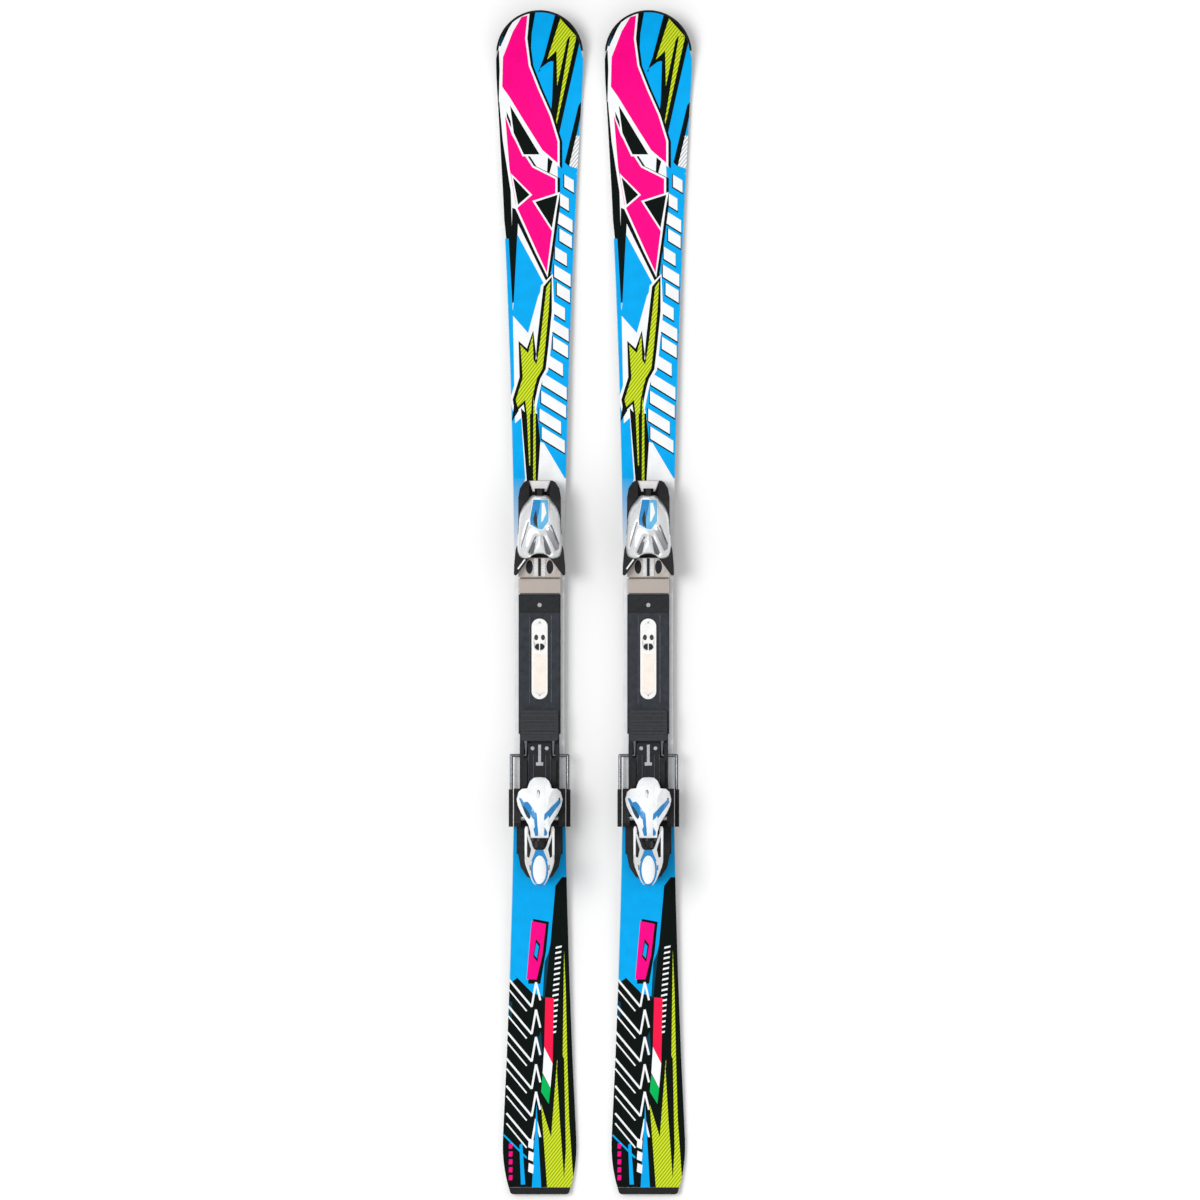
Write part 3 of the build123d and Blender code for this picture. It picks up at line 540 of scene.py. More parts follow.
# ---- topsheet -----------------------------------------------------------------------------
PINK_SHARDS = [
    [
        (-37, 793), (-25, 813), (-17, 815), (-20, 783), (-15, 745), (-2, 712), (14, 676),
        (25, 640), (25, 610), (4, 628), (-20, 666), (-42, 702), (-52, 716), (-51, 757),
    ],
    [
        (-48, 676), (-38, 648), (-10, 604), (22, 588), (22, 552), (16, 506), (10, 458),
        (-4, 488), (-33, 552), (-42, 604),
    ],
]
DARK_WEDGES = [
    [(-41, 690), (-20, 655), (0, 622), (-22, 622), (-36, 652)],
    [(25, 566), (-6, 556), (17, 520)],
    [(-37, 590), (-14, 566), (-30, 552)],
]
LIME_BOLT = [(28.7, 811), (51, 786), (41, 786), (38, 781), (24.4, 717), (23.4, 766), (10.6, 754)]
LIME_SLIVER = [(42.5, 786), (51, 785), (18, 639)]
BOLT_SHADOW = [
    (24, 826), (62, 800), (58, 788), (38, 700), (24, 636), (9.5, 579), (13, 650), (17.5, 700), (19, 752),
    (-2, 736), (6, 757),
]
STAR = [
    (-26.6, 357), (-16, 346), (-9.6, 371), (-8.5, 337), (-4.3, 330), (1, 363), (9.5, 437), (15, 446),
    (12.7, 405), (7.4, 352), (4.2, 325), (-3.2, 312), (-6.4, 301), (-10.7, 281), (-14, 225),
    (-20, 281), (-32, 269), (-33, 281), (-23.4, 312),
]
BAND_LEFT = [
    (24.4, 613), (25.5, 586), (20, 544), (16, 459), (12.7, 395), (7.4, 342), (5.3, 325),
    (-5.3, 306), (-7.5, 281), (-2, 255), (0, 223), (6, 221),
]
BAND_REAR, BAND_BEND, BAND_LEAN = 172, 240, 0.62
BAND = BAND_LEFT + [(35, BAND_REAR), (70, BAND_REAR), (70, 585), (50, 596)]
BAR_TOP, BAR_PITCH, BAR_COUNT = 590.0, 25.0, 17
BAR_ABOVE, BAR_BELOW, BAR_SLOPE, SHORTEST_BAR = 4, 13, 0.62, 6
BAR_RIGHT, BAR_FLARE = 32.5, 0.036
BAR_INSETS = [(9, 0), (4, 6), (4, 0)]  # at the left and the right, for three bars in turn


def band_bars():
    """Slanted white bars, long and short in turn, down the cyan band."""
    left_line = sorted((y, x) for x, y in BAND_LEFT)
    bars = []
    for index in range(BAR_COUNT):
        y = BAR_TOP - BAR_PITCH * index
        left_inset, right_inset = BAR_INSETS[index % len(BAR_INSETS)]
        left = blend_line(left_line, y) + left_inset
        if y < BAND_BEND:
            left += (BAND_BEND - y) * BAND_LEAN
        right = BAR_RIGHT + (y - BAND_REAR) * BAR_FLARE - right_inset
        if right > left + SHORTEST_BAR:
            low, high = y - BAR_BELOW, y + BAR_ABOVE
            drop = BAR_SLOPE * (right - left)
            bars.append([(left, low), (right, low - drop), (right, high - drop), (left, high)])
    return bars


def shovel_art():
    """Areas ahead of the binding."""
    art = [
        ("cyan", [(-13, 830), (70, 830), (70, 590), (50, 596), (24.4, 613), (16, 660), (-19, 730),
                  (-15, 745)]),
        ("ink", [(-15, 830), (-4, 830), (-11, 790), (-13, 745), (-18, 745), (-16, 781)]),
        ("ink", [(-53, 775), (-43, 797), (-30, 817), (-40, 830), (-62, 800)]),
        ("teal", [(-64, 775), (-54, 772), (-50, 784), (-60, 800)]),
        ("ink", [(-66, 772), (-56.5, 766), (-55.5, 740), (-57, 686), (-66, 690)]),
        ("ink", BOLT_SHADOW),
        ("cyan", [(0, 741), (12, 750), (17, 752), (14, 700)]),
        ("lime", LIME_BOLT),
        ("lime", LIME_SLIVER),
        ("ink", [(62, 700), (54, 690), (35, 611), (42, 604), (60, 690)]),
        ("hatch", [(60, 648), (51, 648), (41, 606), (60, 600)]),
        ("ink", [(-66, 695), (-56, 695), (-51, 640), (-40, 570), (-38.5, 520), (-37, 408),
                 (-43, 470), (-50.5, 545), (-66, 600)]),
        ("ink", [(-38, 548), (-31, 545), (17, 454), (12, 440), (-30, 526), (-35, 416), (-41, 416)]),
        ("cyan", [(-31, 511), (6.4, 442), (-2, 425), (-16, 374), (-38, 399), (-36, 416)]),
        ("cyan", [(-70, 505), (-43, 505), (-37, 400), (-34, 245), (-70, 245)]),
        ("cyan", [(-70, 245), (-38, 245), (-25.5, 256), (-20, 172), (-70, 172)]),
        ("cyan_fade", [(-70, 172), (-20, 172), (-29, 140), (-29, 60), (-70, 60)]),
        ("cyan", BAND),
    ]
    for bar in band_bars():
        art += [("ink", grown(moved(bar, -0.4, -0.8), 1.0)), ("white", bar)]
    for shard in PINK_SHARDS:
        art += [
            ("ink", grown(moved(shard, 3.5, -1), 3.0)),
            ("white", grown(shard, 2.8)),
            ("pink", shard),
        ]
    for wedge in DARK_WEDGES:
        art += [("white", grown(wedge, 2.6)), ("ink", wedge)]
    art += [
        ("white", grown(STAR, 8.0, 1.3)),
        ("ink", grown(STAR, 4.4, 1.5)),
        ("lime", STAR),
        ("ink", [(-34, 284), (-39, 250), (-29, 266)]),
        ("ink", [(-26, 270), (-19, 262), (-10, 262), (-3, 262), (1, 223), (-3, 160), (-17, 160)]),
        ("lime", [(-18, 268), (-13.5, 262), (-13, 190), (-14.5, 190)]),
        ("lime", [(-8.5, 285), (-5.5, 262), (-5.5, 160), (-9, 160)]),
    ]
    return art


TAIL_ZIGZAG_TOP, TAIL_ZIGZAG_PITCH, TAIL_ZIGZAG_COUNT = -520.0, -38.0, 6
TICK_TOP, TICK_PITCH, TICK_COUNT = -478.0, -7.4, 17


def tail_zigzags():
    """Nested white zigzags down the left of the tail."""
    lines = []
    for index in range(TAIL_ZIGZAG_COUNT):
        y = TAIL_ZIGZAG_TOP + TAIL_ZIGZAG_PITCH * index
        corners = [(-46, y), (-11, y - 42), (-5, y - 8), (1, y - 33)]
        lines += [stroke([start, end], 2.8) for start, end in zip(corners, corners[1:])]
        lines.append(stroke([(-46, y - 14), (-18, y - 48)], 2.0))
    return lines


def tail_ticks():
    """Small slanted ticks in a row down the dark side of the tail."""
    ticks = []
    for index in range(TICK_COUNT):
        y = TICK_TOP + TICK_PITCH * index
        x = 26 + (y - TICK_TOP) * 0.066
        ticks.append([(x - 4, y - 3.6), (x + 4.5, y - 1.6), (x + 5, y + 1.2), (x - 3.4, y - 0.8)])
    return ticks


def tail_art():
    """Areas behind the binding."""
    art = [
        ("cyan", [(-70, -312), (70, -312), (70, -384), (31, -384), (22, -394), (15, -475), (5, -552),
                  (-70, -505)]),
        ("ink", [(-70, -509), (-41.5, -511), (-10, -543), (5, -548), (15, -475), (22, -394), (31, -382),
                 (70, -382), (70, -840), (-70, -840)]),
        ("cyan", [(-70, -509), (-41.5, -511), (-31, -522), (-38, -527), (-70, -520)]),
        ("teal", [(12, -488), (15, -475), (7, -548), (4, -552), (7, -500)]),
        ("ink", [(-16, -530), (-9, -440), (13, -444), (9, -484), (1, -530)]),
        ("pink", [(-18, -524), (-11, -443), (9, -447), (4, -490), (-4, -524)]),
        ("ink", [(-9, -492), (-5, -468), (1, -476), (-3, -500)]),
        ("cyan", [(-7.6, -490), (-4.6, -473), (-1, -478), (-3.6, -495)]),
        ("teal", [(-48, -551), (-38, -556), (-39, -577), (-48, -572)]),
        ("teal", [(-3, -607), (2, -596), (4, -626), (-2, -630)]),
    ]
    art += [("white", line) for line in tail_zigzags()]
    art += [("white", tick) for tick in tail_ticks()]
    art += [
        ("red", [(8, -549), (20, -550), (18, -641), (6.4, -618)]),
        ("white", [(6.4, -618), (18, -641), (15, -675), (4.2, -654)]),
        ("green", [(4.2, -656), (15, -676), (12.7, -697), (2, -680)]),
        ("lime", [(34, -484), (36.4, -540), (38.6, -640), (41, -720), (46, -790), (50, -840),
                  (33, -840), (32, -640)]),
        ("lime", [(2, -697), (11.7, -830), (45, -830), (44.6, -807), (24.4, -635), (16, -743)]),
        ("ink", [(26, -620), (34, -634), (36.5, -760), (34, -801), (28, -720), (24, -650)]),
        ("cyan", [(-4.3, -697), (3.2, -830), (-11.7, -830)]),
        ("cyan", stroke([(-50, -740), (-18, -772)], 2.4)),
        ("cyan", [(-28, -754), (-24, -751), (-20, -809), (-26, -809)]),
    ]
    pink_dash = [(-43, -759), (-38, -759), (-37.5, -752), (-42.5, -752)]
    white_dash = [(-16, -757), (-9, -760), (-8, -748), (-15, -745)]
    art += [("pink", dash) for dash in repeated(pink_dash, 11, 5)]
    art += [("white", dash) for dash in repeated(white_dash, 17, 3)]
    return art


SHEET_THICKNESS = 0.8
SHEET_END_STEPS = [0.3, 0.8, 1.6, 2.8, 4.5, 7.0, 10.0, 14.0, 19.0, 25.0, 32.0, 40.0, 49.0]
SHEET_STEP = 11.0


def topsheet():
    """The printed sheet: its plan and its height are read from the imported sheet."""
    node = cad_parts["left_topsheet"]
    centre = CENTRES["left"]
    tree = BVHTree.FromPolygons(
        [vertex.co for vertex in node.data.vertices],
        [polygon.vertices for polygon in node.data.polygons],
    )
    low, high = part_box("left_topsheet")
    inset = SHEET_END_STEPS[0] * MM

    def height(x, y):
        inner = min(high.y - inset, max(low.y + inset, y * MM))
        hit = tree.ray_cast(Vector((centre, inner, 1.0)), Vector((0, 0, -1)))[0]
        return hit.z / MM

    def half_width(y):
        start = Vector((centre + 0.2, y * MM, (height(0, y) - 0.4) * MM))
        hit = tree.ray_cast(start, Vector((-1, 0, 0)))[0]
        return (hit.x - centre) / MM

    first, last = low.y / MM, high.y / MM
    stations = [first + step for step in SHEET_END_STEPS]
    stations += [last - step for step in SHEET_END_STEPS]
    y = first + 60
    while y < last - 55:
        stations.append(y)
        y += SHEET_STEP
    stations.sort()
    right = [(half_width(y), y) for y in stations]
    outline = right + [(-x, y) for x, y in reversed(right)]
    lines = [((-70, y), (70, y)) for y in stations[1:-1]]
    art = ["white"] + shovel_art() + tail_art()
    mesh = relief(
        "topsheet", outline, art, height, lambda x, y: height(x, y) - SHEET_THICKNESS, INKS, lines=lines
    )
    both_sides("printed_topsheet", mesh, "ski", "topsheet")


# ---- toe piece ----------------------------------------------------------------------------
TOE_OUTLINE = mirrored([
    (0, 67.5), (5.5, 67), (10.5, 65), (13.5, 61.8), (17, 60.6), (24, 61.2), (28.5, 64), (30.6, 70),
    (31.2, 80), (30.4, 96), (30.3, 97.5), (30.2, 98.5), (29.2, 110), (27.4, 124), (24.4, 133),
    (19.5, 140.5), (13.5, 146.8), (9.5, 148.4), (0, 148.6),
])
TOE_SIDE = [
    (60, 76), (66, 79), (76, 81.5), (88, 82.4), (100, 81.4), (112, 78.4), (124, 74.4),
    (136, 69.2), (146, 63), (150, 59),
]
TOE_ACROSS = [(0, 0), (0.2, 0.2), (0.4, 1.1), (0.6, 3.0), (0.8, 6.4), (0.92, 9.6), (1.0, 11.6)]
TOE_WIDTH = [(60, 31.0), (96, 31.2), (122, 28.4), (134, 24), (149, 12)]
TOE_SCOOPS = [  # start, end, half width, depth
    ((-15.6, 111), (-25.5, 76), 1.6, 1.5),
    ((6.5, 102), (24.0, 74), 5.2, 3.0),
    ((4.6, 90), (13.5, 68), 3.4, 4.8),
    ((-4.6, 90), (-13.5, 68), 3.4, 4.8),
]
TOE_WALL, TOE_RIM, TOE_ROUNDING = 2.2, 2.4, 2.6
TOE_SKIRT_STEP, TOE_SKIRT_REAR, TOE_SKIRT_FRONT = 98, 66.8, 41.0  # y, then z behind and ahead
NUT_ROOM_REAR, NUT_ROOM_HALF, NUT_ROOM_TOP = 124, 12, 65.3


def toe_cover():
    """The lacquered shell over the toe piece, hollow below, with its scoops and printed panel; darker
    silver paints the shade on its right side and in its scoops.
    """
    def height(x, y):
        z = blend_line(TOE_SIDE, y) - blend_line(TOE_ACROSS, abs(x) / blend_line(TOE_WIDTH, y))
        z = scooped(z, x, y, TOE_SCOOPS)
        return z - rolled(distance_to_rim(x, y, TOE_OUTLINE), TOE_ROUNDING)

    def underside(x, y):
        if distance_to_rim(x, y, TOE_OUTLINE) < TOE_RIM:
            return TOE_SKIRT_REAR if y < TOE_SKIRT_STEP else TOE_SKIRT_FRONT
        roof = height(x, y) - TOE_WALL
        over_nut = y > NUT_ROOM_REAR and abs(x) < NUT_ROOM_HALF
        return max(roof, NUT_ROOM_TOP) if over_nut else roof

    panel = [(-8.6, 142.5), (-13.2, 116), (-12.8, 107.5), (-3, 102), (4, 101), (12.4, 112.6), (11.6, 142)]
    art = [
        "silver",
        ("gloss_white", grown(panel, 1.6)),
        ("sky", panel),
        ("blue", [(-8.6, 142.5), (-13.2, 116), (-12.8, 107.5), (-6, 104), (-3, 116), (1.5, 142.3)]),
        ("gloss_white", [(3, 138), (6.5, 138), (9.5, 124), (4, 112), (2.2, 112)]),
        ("gloss_black", [(-4.9, 129), (-9, 116), (-7.5, 108), (-2.8, 102.5), (-3.5, 116)]),
        # painted shade: darker silver over the right side of the dome and along its scoops, where less
        # light falls
        ("mid_silver", [(7, 103), (13, 105), (27.6, 82), (27.0, 74), (22, 71), (17, 82)]),
        ("dark_silver", [(14.6, 107), (16.6, 108), (27.0, 82), (25.8, 79)]),
        ("dark_silver", [(-15.1, 111.5), (-16.0, 111.8), (-26.0, 77), (-25.2, 76)]),
        ("dark_silver", [(4, 91.5), (6.5, 91), (16, 69), (14, 65.2), (8.5, 67.5)]),
        ("dark_silver", [(-4, 91.5), (-6.5, 91), (-16, 69), (-14, 65.2), (-8.5, 67.5)]),
    ]
    for sign in (-1, 1):  # the skirt between wing and cheek is black
        skirt = [(sign * 29.9, 94), (sign * 33, 94), (sign * 31, 112), (sign * 28.4, 112)]
        art.append(("soft_black", skirt))
    mesh = relief("toe_cover", TOE_OUTLINE, art, height, underside, FITTINGS, spacing=1.5)
    both_sides("toe_cover", mesh, "ski", "toe_housing")


def toe_details():
    """The pale nose block, the sliding plate's pockets, rails and groove, and a silver strip painted on a
    wing's top as a highlight.
    """
    nose = mirrored([(0, 153.6), (9.6, 153.6), (15.4, 168.4), (0, 168.6)])
    both_sides("nose_block", pad("nose_block", nose, 44.0, 47.2, "pale", 1.0), "ski")
    for word, sign in (("left", -1), ("right", 1)):
        pocket = oval(sign * 14.2, 49.0, 4.8, 9.4)
        mesh = pad(f"pocket_{word}", pocket, 42.6, 43.3, "soft_black", 0.2)
        both_sides(f"afd_pocket_{word}", mesh, "afd_plate")
        rail = [(sign * 2.3, 36), (sign * 8.2, 36), (sign * 8.2, 61), (sign * 2.3, 61)]
        mesh = pad(f"rail_{word}", rail, 43.7, 44.2, "bright_steel", 0.2)
        both_sides(f"afd_rail_{word}", mesh, "afd_plate")
    groove = [(-1.8, 36), (1.8, 36), (1.8, 61), (-1.8, 61)]
    mesh = pad("groove", groove, 42.7, 43.3, "soft_black", 0.1)
    both_sides("afd_groove", mesh, "afd_plate")
    # painted highlight: a silver strip on the left wing's top stands in for the light that it catches
    strip = [(-21.2, 60.2), (-19.4, 58.8), (-29.4, 45.2), (-31.2, 46.6)]
    mesh = pad("wing_painted_highlight", strip, 65.6, 66.5, "silver", 0.3)
    both_sides("wing_painted_highlight", mesh, "toe_wing_left")


# ---- centre cover -------------------------------------------------------------------------
MOON_Y, MOON_GAP, MOON_WIDTH, MOON_HALF = -62.0, 0.7, 6.0, 4.6
NOSE_TOP, NOSE_UNDERSIDE, NOSE_ROUNDING = 33.3, 32.4, 0.6
WINDOW_RIM_TOP, WINDOW_RIM_UNDERSIDE = 33.0, 32.3


def half_moon(sign):
    """Half of a small round opening, on one side of its upright divider."""
    turns = [math.pi * index / 10 for index in range(11)]
    return [
        (sign * (MOON_GAP + MOON_WIDTH * math.sin(t)), MOON_Y + MOON_HALF * math.cos(t)) for t in turns
    ]


def cover_details():
    """The cover's darker nose, ribs lightened as painted highlight, screw, and what is seen in its white
    window.
    """
    nose = [(-28.0, -14.5), (28.0, -14.5), (28.0, 9.5), (-28.0, 9.5)]
    screw_hole = oval(0, -4, 4.4, 4.4, 20)
    mesh = relief(
        "cover_nose", nose,
        ["soft_black", ("soft_black", grown(nose, -NOSE_ROUNDING)), (None, screw_hole)],
        lambda x, y: NOSE_TOP - rolled(distance_to_rim(x, y, nose), NOSE_ROUNDING),
        lambda x, y: NOSE_UNDERSIDE, FITTINGS,
    )
    both_sides("cover_nose", mesh, "ski")
    # painted highlight: the raised ribs along the cover are lighter grey than the black cover
    for number, (x0, x1) in enumerate(((-14.6, -13.2), (15.4, 17.2))):
        rib = [(x0, -140), (x1, -140), (x1, -18), (x0, -18)]
        mesh = pad(f"cover_rib_{number}", rib, 32.3, 33.0, "cover_rib", 0.3)
        both_sides(f"cover_rib_{number}", mesh, "ski")
    outer = mirrored([
        (0, -136.4), (7.0, -135.4), (12.6, -128.0), (12.6, -29.6), (7.0, -22.4), (0, -21.4),
    ])
    inner = mirrored([
        (0, -135.2), (6.4, -134.2), (11.3, -127.2), (11.3, -30.4), (6.4, -23.6), (0, -22.6),
    ])
    mesh = relief(
        "window_rim", outer, ["gloss_black", (None, inner)],
        lambda x, y: WINDOW_RIM_TOP, lambda x, y: WINDOW_RIM_UNDERSIDE, FITTINGS,
    )
    both_sides("window_rim", mesh, "ski")
    beige = mirrored([(0, -125.5), (5.5, -124.5), (8.0, -119.0), (8.0, -72.0), (0, -72.0)])
    mesh = pad("window_label", beige, 33.1, 33.5, "beige", 0.2)
    both_sides("window_label", mesh, "ski")
    for word, sign in (("left", -1), ("right", 1)):
        mesh = pad(f"window_moon_{word}", half_moon(sign), 33.0, 33.45, "soft_black", 0.2)
        both_sides(f"window_moon_{word}", mesh, "ski")
        hole = oval(sign * 4.7, -49, 2.7, 4.0, 20)
        mesh = pad(f"window_hole_{word}", hole, 33.0, 33.5, "gloss_black", 0.2)
        both_sides(f"window_hole_{word}", mesh, "ski")


# ---- heel piece ---------------------------------------------------------------------------
CARRIAGE_TOP = 38.0


def carriage_ribs():
    """Low ribs along the front of the heel's foot, where the boot passes over it, lighter grey as painted
    highlight.
    """
    # painted highlight: each raised rib is lighter grey than the black foot
    for number, x in enumerate((-15.5, -8.5, 8.5, 15.5)):
        rib = [(x - 0.6, -250), (x + 0.6, -250), (x + 0.6, -212), (x - 0.6, -212)]
        low, high = CARRIAGE_TOP - 0.3, CARRIAGE_TOP + 0.7
        mesh = pad(f"carriage_rib_{number}", rib, low, high, "cover_rib", 0.3)
        both_sides(f"carriage_rib_{number}", mesh, "heel_carriage")


HEEL_OUTLINE = mirrored([
    (0, -243.2), (4, -243.3), (8.2, -243.9), (13.2, -248.4), (15.6, -254), (17, -259.0), (24.2, -259.1),
    (29.4, -263.7), (32.0, -274.0), (30.2, -283.0), (25.2, -293.8), (20.8, -300.2), (15.6, -309.2),
    (12.8, -320.0), (12.4, -327.6), (0, -327.8),
])
HEEL_SIDE = [
    (-328, 92.0), (-320, 98.0), (-312, 102.2), (-300, 104.0), (-290, 104.8), (-280, 104.0),
    (-270, 102.0), (-262, 99.0), (-254, 95.0), (-248, 90.0), (-243, 84.0),
]
HEEL_ACROSS = [(0, 0), (6, 0.5), (12, 2.2), (17, 5.4), (22, 9.6), (27, 16.0), (32, 24.0)]
HEEL_SCOOPS = [  # start, end, half width, depth
    ((-11, -262), (-24, -262), 2.5, 1.2),
    ((11, -262), (24, -262), 2.5, 1.2),
    ((-1.8, -262.5), (-1.8, -269.5), 1.6, 1.6),
]
TEARDROP = [
    (-3.4, -262.5), (-2.2, -260.6), (-0.6, -260.8), (0.4, -263.5), (-0.6, -271), (-1.8, -271.4),
    (-3.0, -267),
]
HEEL_WALL, HEEL_RIM, HEEL_ROUNDING = 2.4, 2.0, 2.0
HEEL_SKIRT_STEP, HEEL_SKIRT_REAR, HEEL_SKIRT_FRONT = -259.5, 66.2, 74.3  # y, then z behind and ahead


def heel_cover():
    """The white cap over the heel housing, with its blue stripes."""
    def height(x, y):
        z = blend_line(HEEL_SIDE, y) - blend_line(HEEL_ACROSS, abs(x))
        z = scooped(z, x, y, HEEL_SCOOPS)
        return z - rolled(distance_to_rim(x, y, HEEL_OUTLINE), HEEL_ROUNDING)

    def underside(x, y):
        if distance_to_rim(x, y, HEEL_OUTLINE) > HEEL_RIM:
            return height(x, y) - HEEL_WALL
        return HEEL_SKIRT_FRONT if y > HEEL_SKIRT_STEP else HEEL_SKIRT_REAR

    art = [
        "gloss_white",
        ("blue", [(-29, -272), (-18.5, -273), (-4, -294), (-2, -324.5), (-6, -325), (-9, -314),
                  (-20, -294)]),
        ("teal_gloss", [(-24, -283), (-21.5, -283), (-11, -299), (-7.4, -314), (-9, -314), (-20, -294)]),
        ("blue", [(28.4, -272.4), (6.7, -294.5), (6, -303), (13, -301), (22, -288.5), (29.5, -278)]),
        ("blue", [(6.7, -308.6), (12, -308.6), (12, -324.5), (6.3, -324.5)]),
        ("gloss_black", TEARDROP),
        ("gloss_black", oval(-24, -272, 1.3, 1.3, 14)),
        ("gloss_black", oval(27.2, -273, 1.3, 1.3, 14)),
    ]
    mesh = relief("heel_cover", HEEL_OUTLINE, art, height, underside, FITTINGS, spacing=1.5)
    both_sides("heel_cover", mesh, "heel_housing")


LEVER_TILT = math.radians(-26)
LEVER_PIVOT = (-316.0, 84.0)
LEVER_OUTLINE = mirrored([
    (0, -87.3), (3.5, -86.6), (6.8, -84.6), (9.6, -80.8), (12.2, -75), (15.6, -66), (18.8, -57),
    (20.6, -49), (20.8, 0.5), (19.6, 4.4), (17.0, 4.4), (15.6, 0.5), (15.6, -6), (12.6, -15),
    (9.4, -26), (7.6, -30), (5.0, -32), (0, -32),
])
LEVER_TOP, LEVER_UNDERSIDE = 2.6, -2.4
SPOON_Y = -63.4
CROWN_HEIGHT, CROWN_HALF_X, CROWN_HALF_Y = 2.6, 9.2, 22.5


def lever():
    """The opening lever: two arms, a blue neck and rim, and a white spoon."""
    spoon = oval(0, SPOON_Y, 9.4, 21.8, 40)
    blue_rim = oval(0, SPOON_Y, 12.2, 24.8, 40)

    def height(x, y):
        along, across = (y - SPOON_Y) / CROWN_HALF_Y, x / CROWN_HALF_X
        reach = along * along + across * across
        crown = CROWN_HEIGHT * max(0.0, 1 - reach) ** 0.6
        return LEVER_TOP + crown - rolled(distance_to_rim(x, y, LEVER_OUTLINE), 1.4)

    def underside(x, y):
        return LEVER_UNDERSIDE + rolled(distance_to_rim(x, y, LEVER_OUTLINE), 1.2)

    art = ["silver"]
    for sign in (-1, 1):
        arm = [(17.4, 4), (21.5, 4), (21.5, -40), (18.2, -40)]
        opening = [(17.4, -11), (17.4, -43), (14.4, -45), (11.6, -31)]
        notch = [(12.6, -56), (14.0, -56), (13.6, -64), (12.4, -64)]
        for colour, area in (("gloss_white", arm), (None, opening), ("soft_black", notch)):
            art.append((colour, [(sign * x, y) for x, y in area]))
    art += [
        ("blue", [(-4.6, -31.5), (4.6, -31.5), (11.6, -50), (-11.6, -50)]),
        ("blue", blue_rim),
        ("gloss_white", spoon),
    ]
    mesh = relief("lever", LEVER_OUTLINE, art, height, underside, FITTINGS, spacing=1.5)
    place = Matrix.Translation((0, LEVER_PIVOT[0] * MM, LEVER_PIVOT[1] * MM))
    mesh.transform(place @ Matrix.Rotation(LEVER_TILT, 4, "X"))
    both_sides("lever", mesh, "heel_lever", "heel_lever")


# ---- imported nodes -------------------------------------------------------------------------
SOFTENED = {  # bevel width in millimetres
    "interface_plate": 0.6, "center_cover": 0.8, "scale_window": 0.4, "toe_base": 0.8,
    "toe_wing_left": 0.9, "toe_wing_right": 0.9, "afd_plate": 0.3, "heel_carriage": 0.7,
    "heel_housing": 0.8, "brake_pedal": 1.0, "brake_tips": 0.8, "heel_setting_screw": 0.5,
    "toe_setting_screw": 0.4,
}


def soften(node, width):
    """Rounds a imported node's hard edges with modifiers only."""
    weld = node.modifiers.new("weld", "WELD")
    weld.merge_threshold = 0.001 * MM
    bevel = node.modifiers.new("bevel", "BEVEL")
    bevel.width = width * MM
    bevel.segments = 2
    bevel.limit_method = "ANGLE"
    bevel.angle_limit = SHARP_ANGLE
    bevel.use_clamp_overlap = True
    normals = node.modifiers.new("normals", "WEIGHTED_NORMAL")
    normals.keep_sharp = False


def dress_packed_nodes():
    """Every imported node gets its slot's finish, and the larger ones get softened edges."""
    for name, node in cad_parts.items():
        for slot in node.material_slots:
            key = slot.material.name.split(".")[0]
            slot.material = SLOT_FINISHES[key]
        stem = name.split("_", 1)[1]
        if stem in SOFTENED:
            soften(node, SOFTENED[stem])


# ---- stage, light and camera --------------------------------------------------------------
VIEW_WIDTH = 1.667
VIEW_CENTRE = (0.0084, 0.003)
CAMERA_HEIGHT, CAMERA_REACH = 3.0, 20.0
HORIZON_LIGHT, ZENITH_LIGHT = 0.44, 0.84
SUN_PLACE, SUN_STRENGTH, SUN_SPREAD = (-1.0, 0.25, 2.3), 1.4, math.radians(24)
FLOOR_HALF, FLOOR_DROP = 30.0, 0.2 * MM


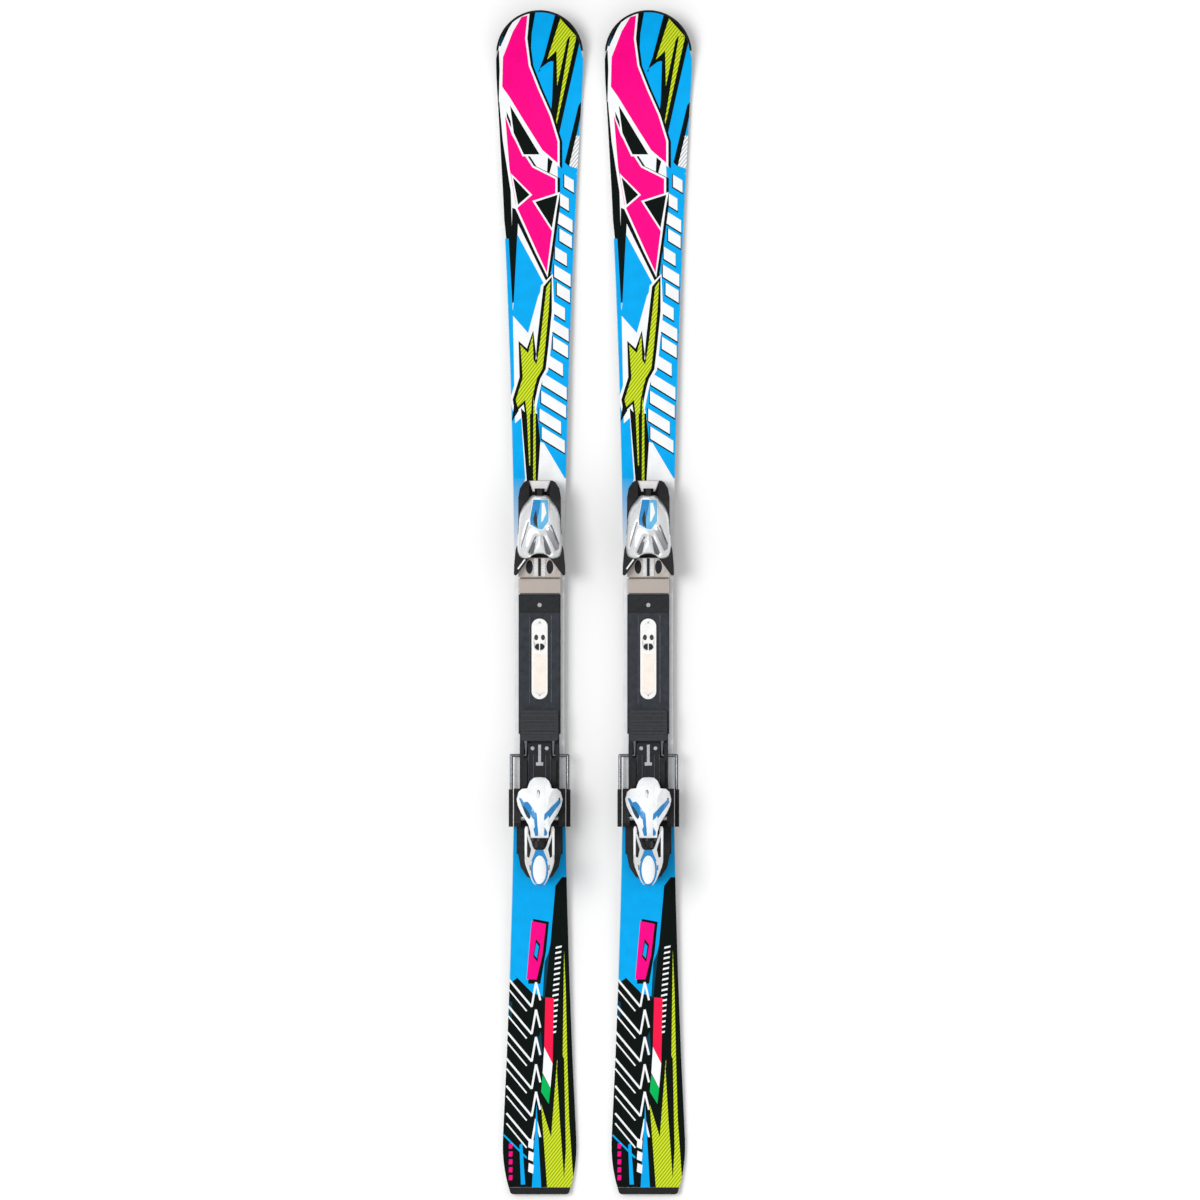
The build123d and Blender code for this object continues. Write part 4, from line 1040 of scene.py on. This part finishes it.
def stage():
    """A plain pale floor, just under the skis."""
    mesh = bpy.data.meshes.new("floor")
    h = FLOOR_HALF
    mesh.from_pydata([(-h, -h, 0), (h, -h, 0), (h, h, 0), (-h, h, 0)], [], [(0, 1, 2, 3)])
    finish = Finish("floor_paper", linear(250, 250, 250))
    finish.colours(finish.noise(3.0, 2.0), linear(249, 249, 249), linear(251, 251, 251))
    finish.roughness(finish.noise(8.0, 2.0), 0.85, 0.95)
    mesh.materials.append(finish.material)
    floor = bpy.data.objects.new("floor", mesh)
    bpy.context.scene.collection.objects.link(floor)
    floor.location.z = -FLOOR_DROP


def sun():
    """A broad, even key light from the upper left."""
    data = bpy.data.lights.new("key", "SUN")
    data.energy = SUN_STRENGTH
    data.angle = SUN_SPREAD
    light = bpy.data.objects.new("key", data)
    bpy.context.scene.collection.objects.link(light)
    light.location = SUN_PLACE
    light.rotation_euler = (-Vector(SUN_PLACE)).to_track_quat("-Z", "Y").to_euler()


def light_and_camera():
    """An even studio world, the key light, and a camera straight above the pair."""
    scene = bpy.context.scene
    scene.view_settings.view_transform = "Standard"
    world = bpy.data.worlds.new("studio")
    world.use_nodes = True
    tree = world.node_tree
    split = tree.nodes.new("ShaderNodeSeparateXYZ")
    lift = tree.nodes.new("ShaderNodeMapRange")
    lift.inputs["To Min"].default_value = HORIZON_LIGHT
    lift.inputs["To Max"].default_value = ZENITH_LIGHT
    direction = tree.nodes.new("ShaderNodeTexCoord").outputs["Generated"]
    tree.links.new(direction, split.inputs["Vector"])
    tree.links.new(split.outputs["Z"], lift.inputs["Value"])
    tree.links.new(lift.outputs["Result"], tree.nodes["Background"].inputs["Strength"])
    tree.nodes["Background"].inputs["Color"].default_value = (1, 1, 1, 1)
    scene.world = world
    sun()
    data = bpy.data.cameras.new("camera")
    data.type = "ORTHO"
    data.ortho_scale = VIEW_WIDTH
    data.clip_end = CAMERA_REACH
    camera = bpy.data.objects.new("camera", data)
    scene.collection.objects.link(camera)
    camera.location = (*VIEW_CENTRE, CAMERA_HEIGHT)
    scene.camera = camera


dress_packed_nodes()
topsheet()
toe_cover()
toe_details()
cover_details()
carriage_ribs()
heel_cover()
lever()
stage()
light_and_camera()
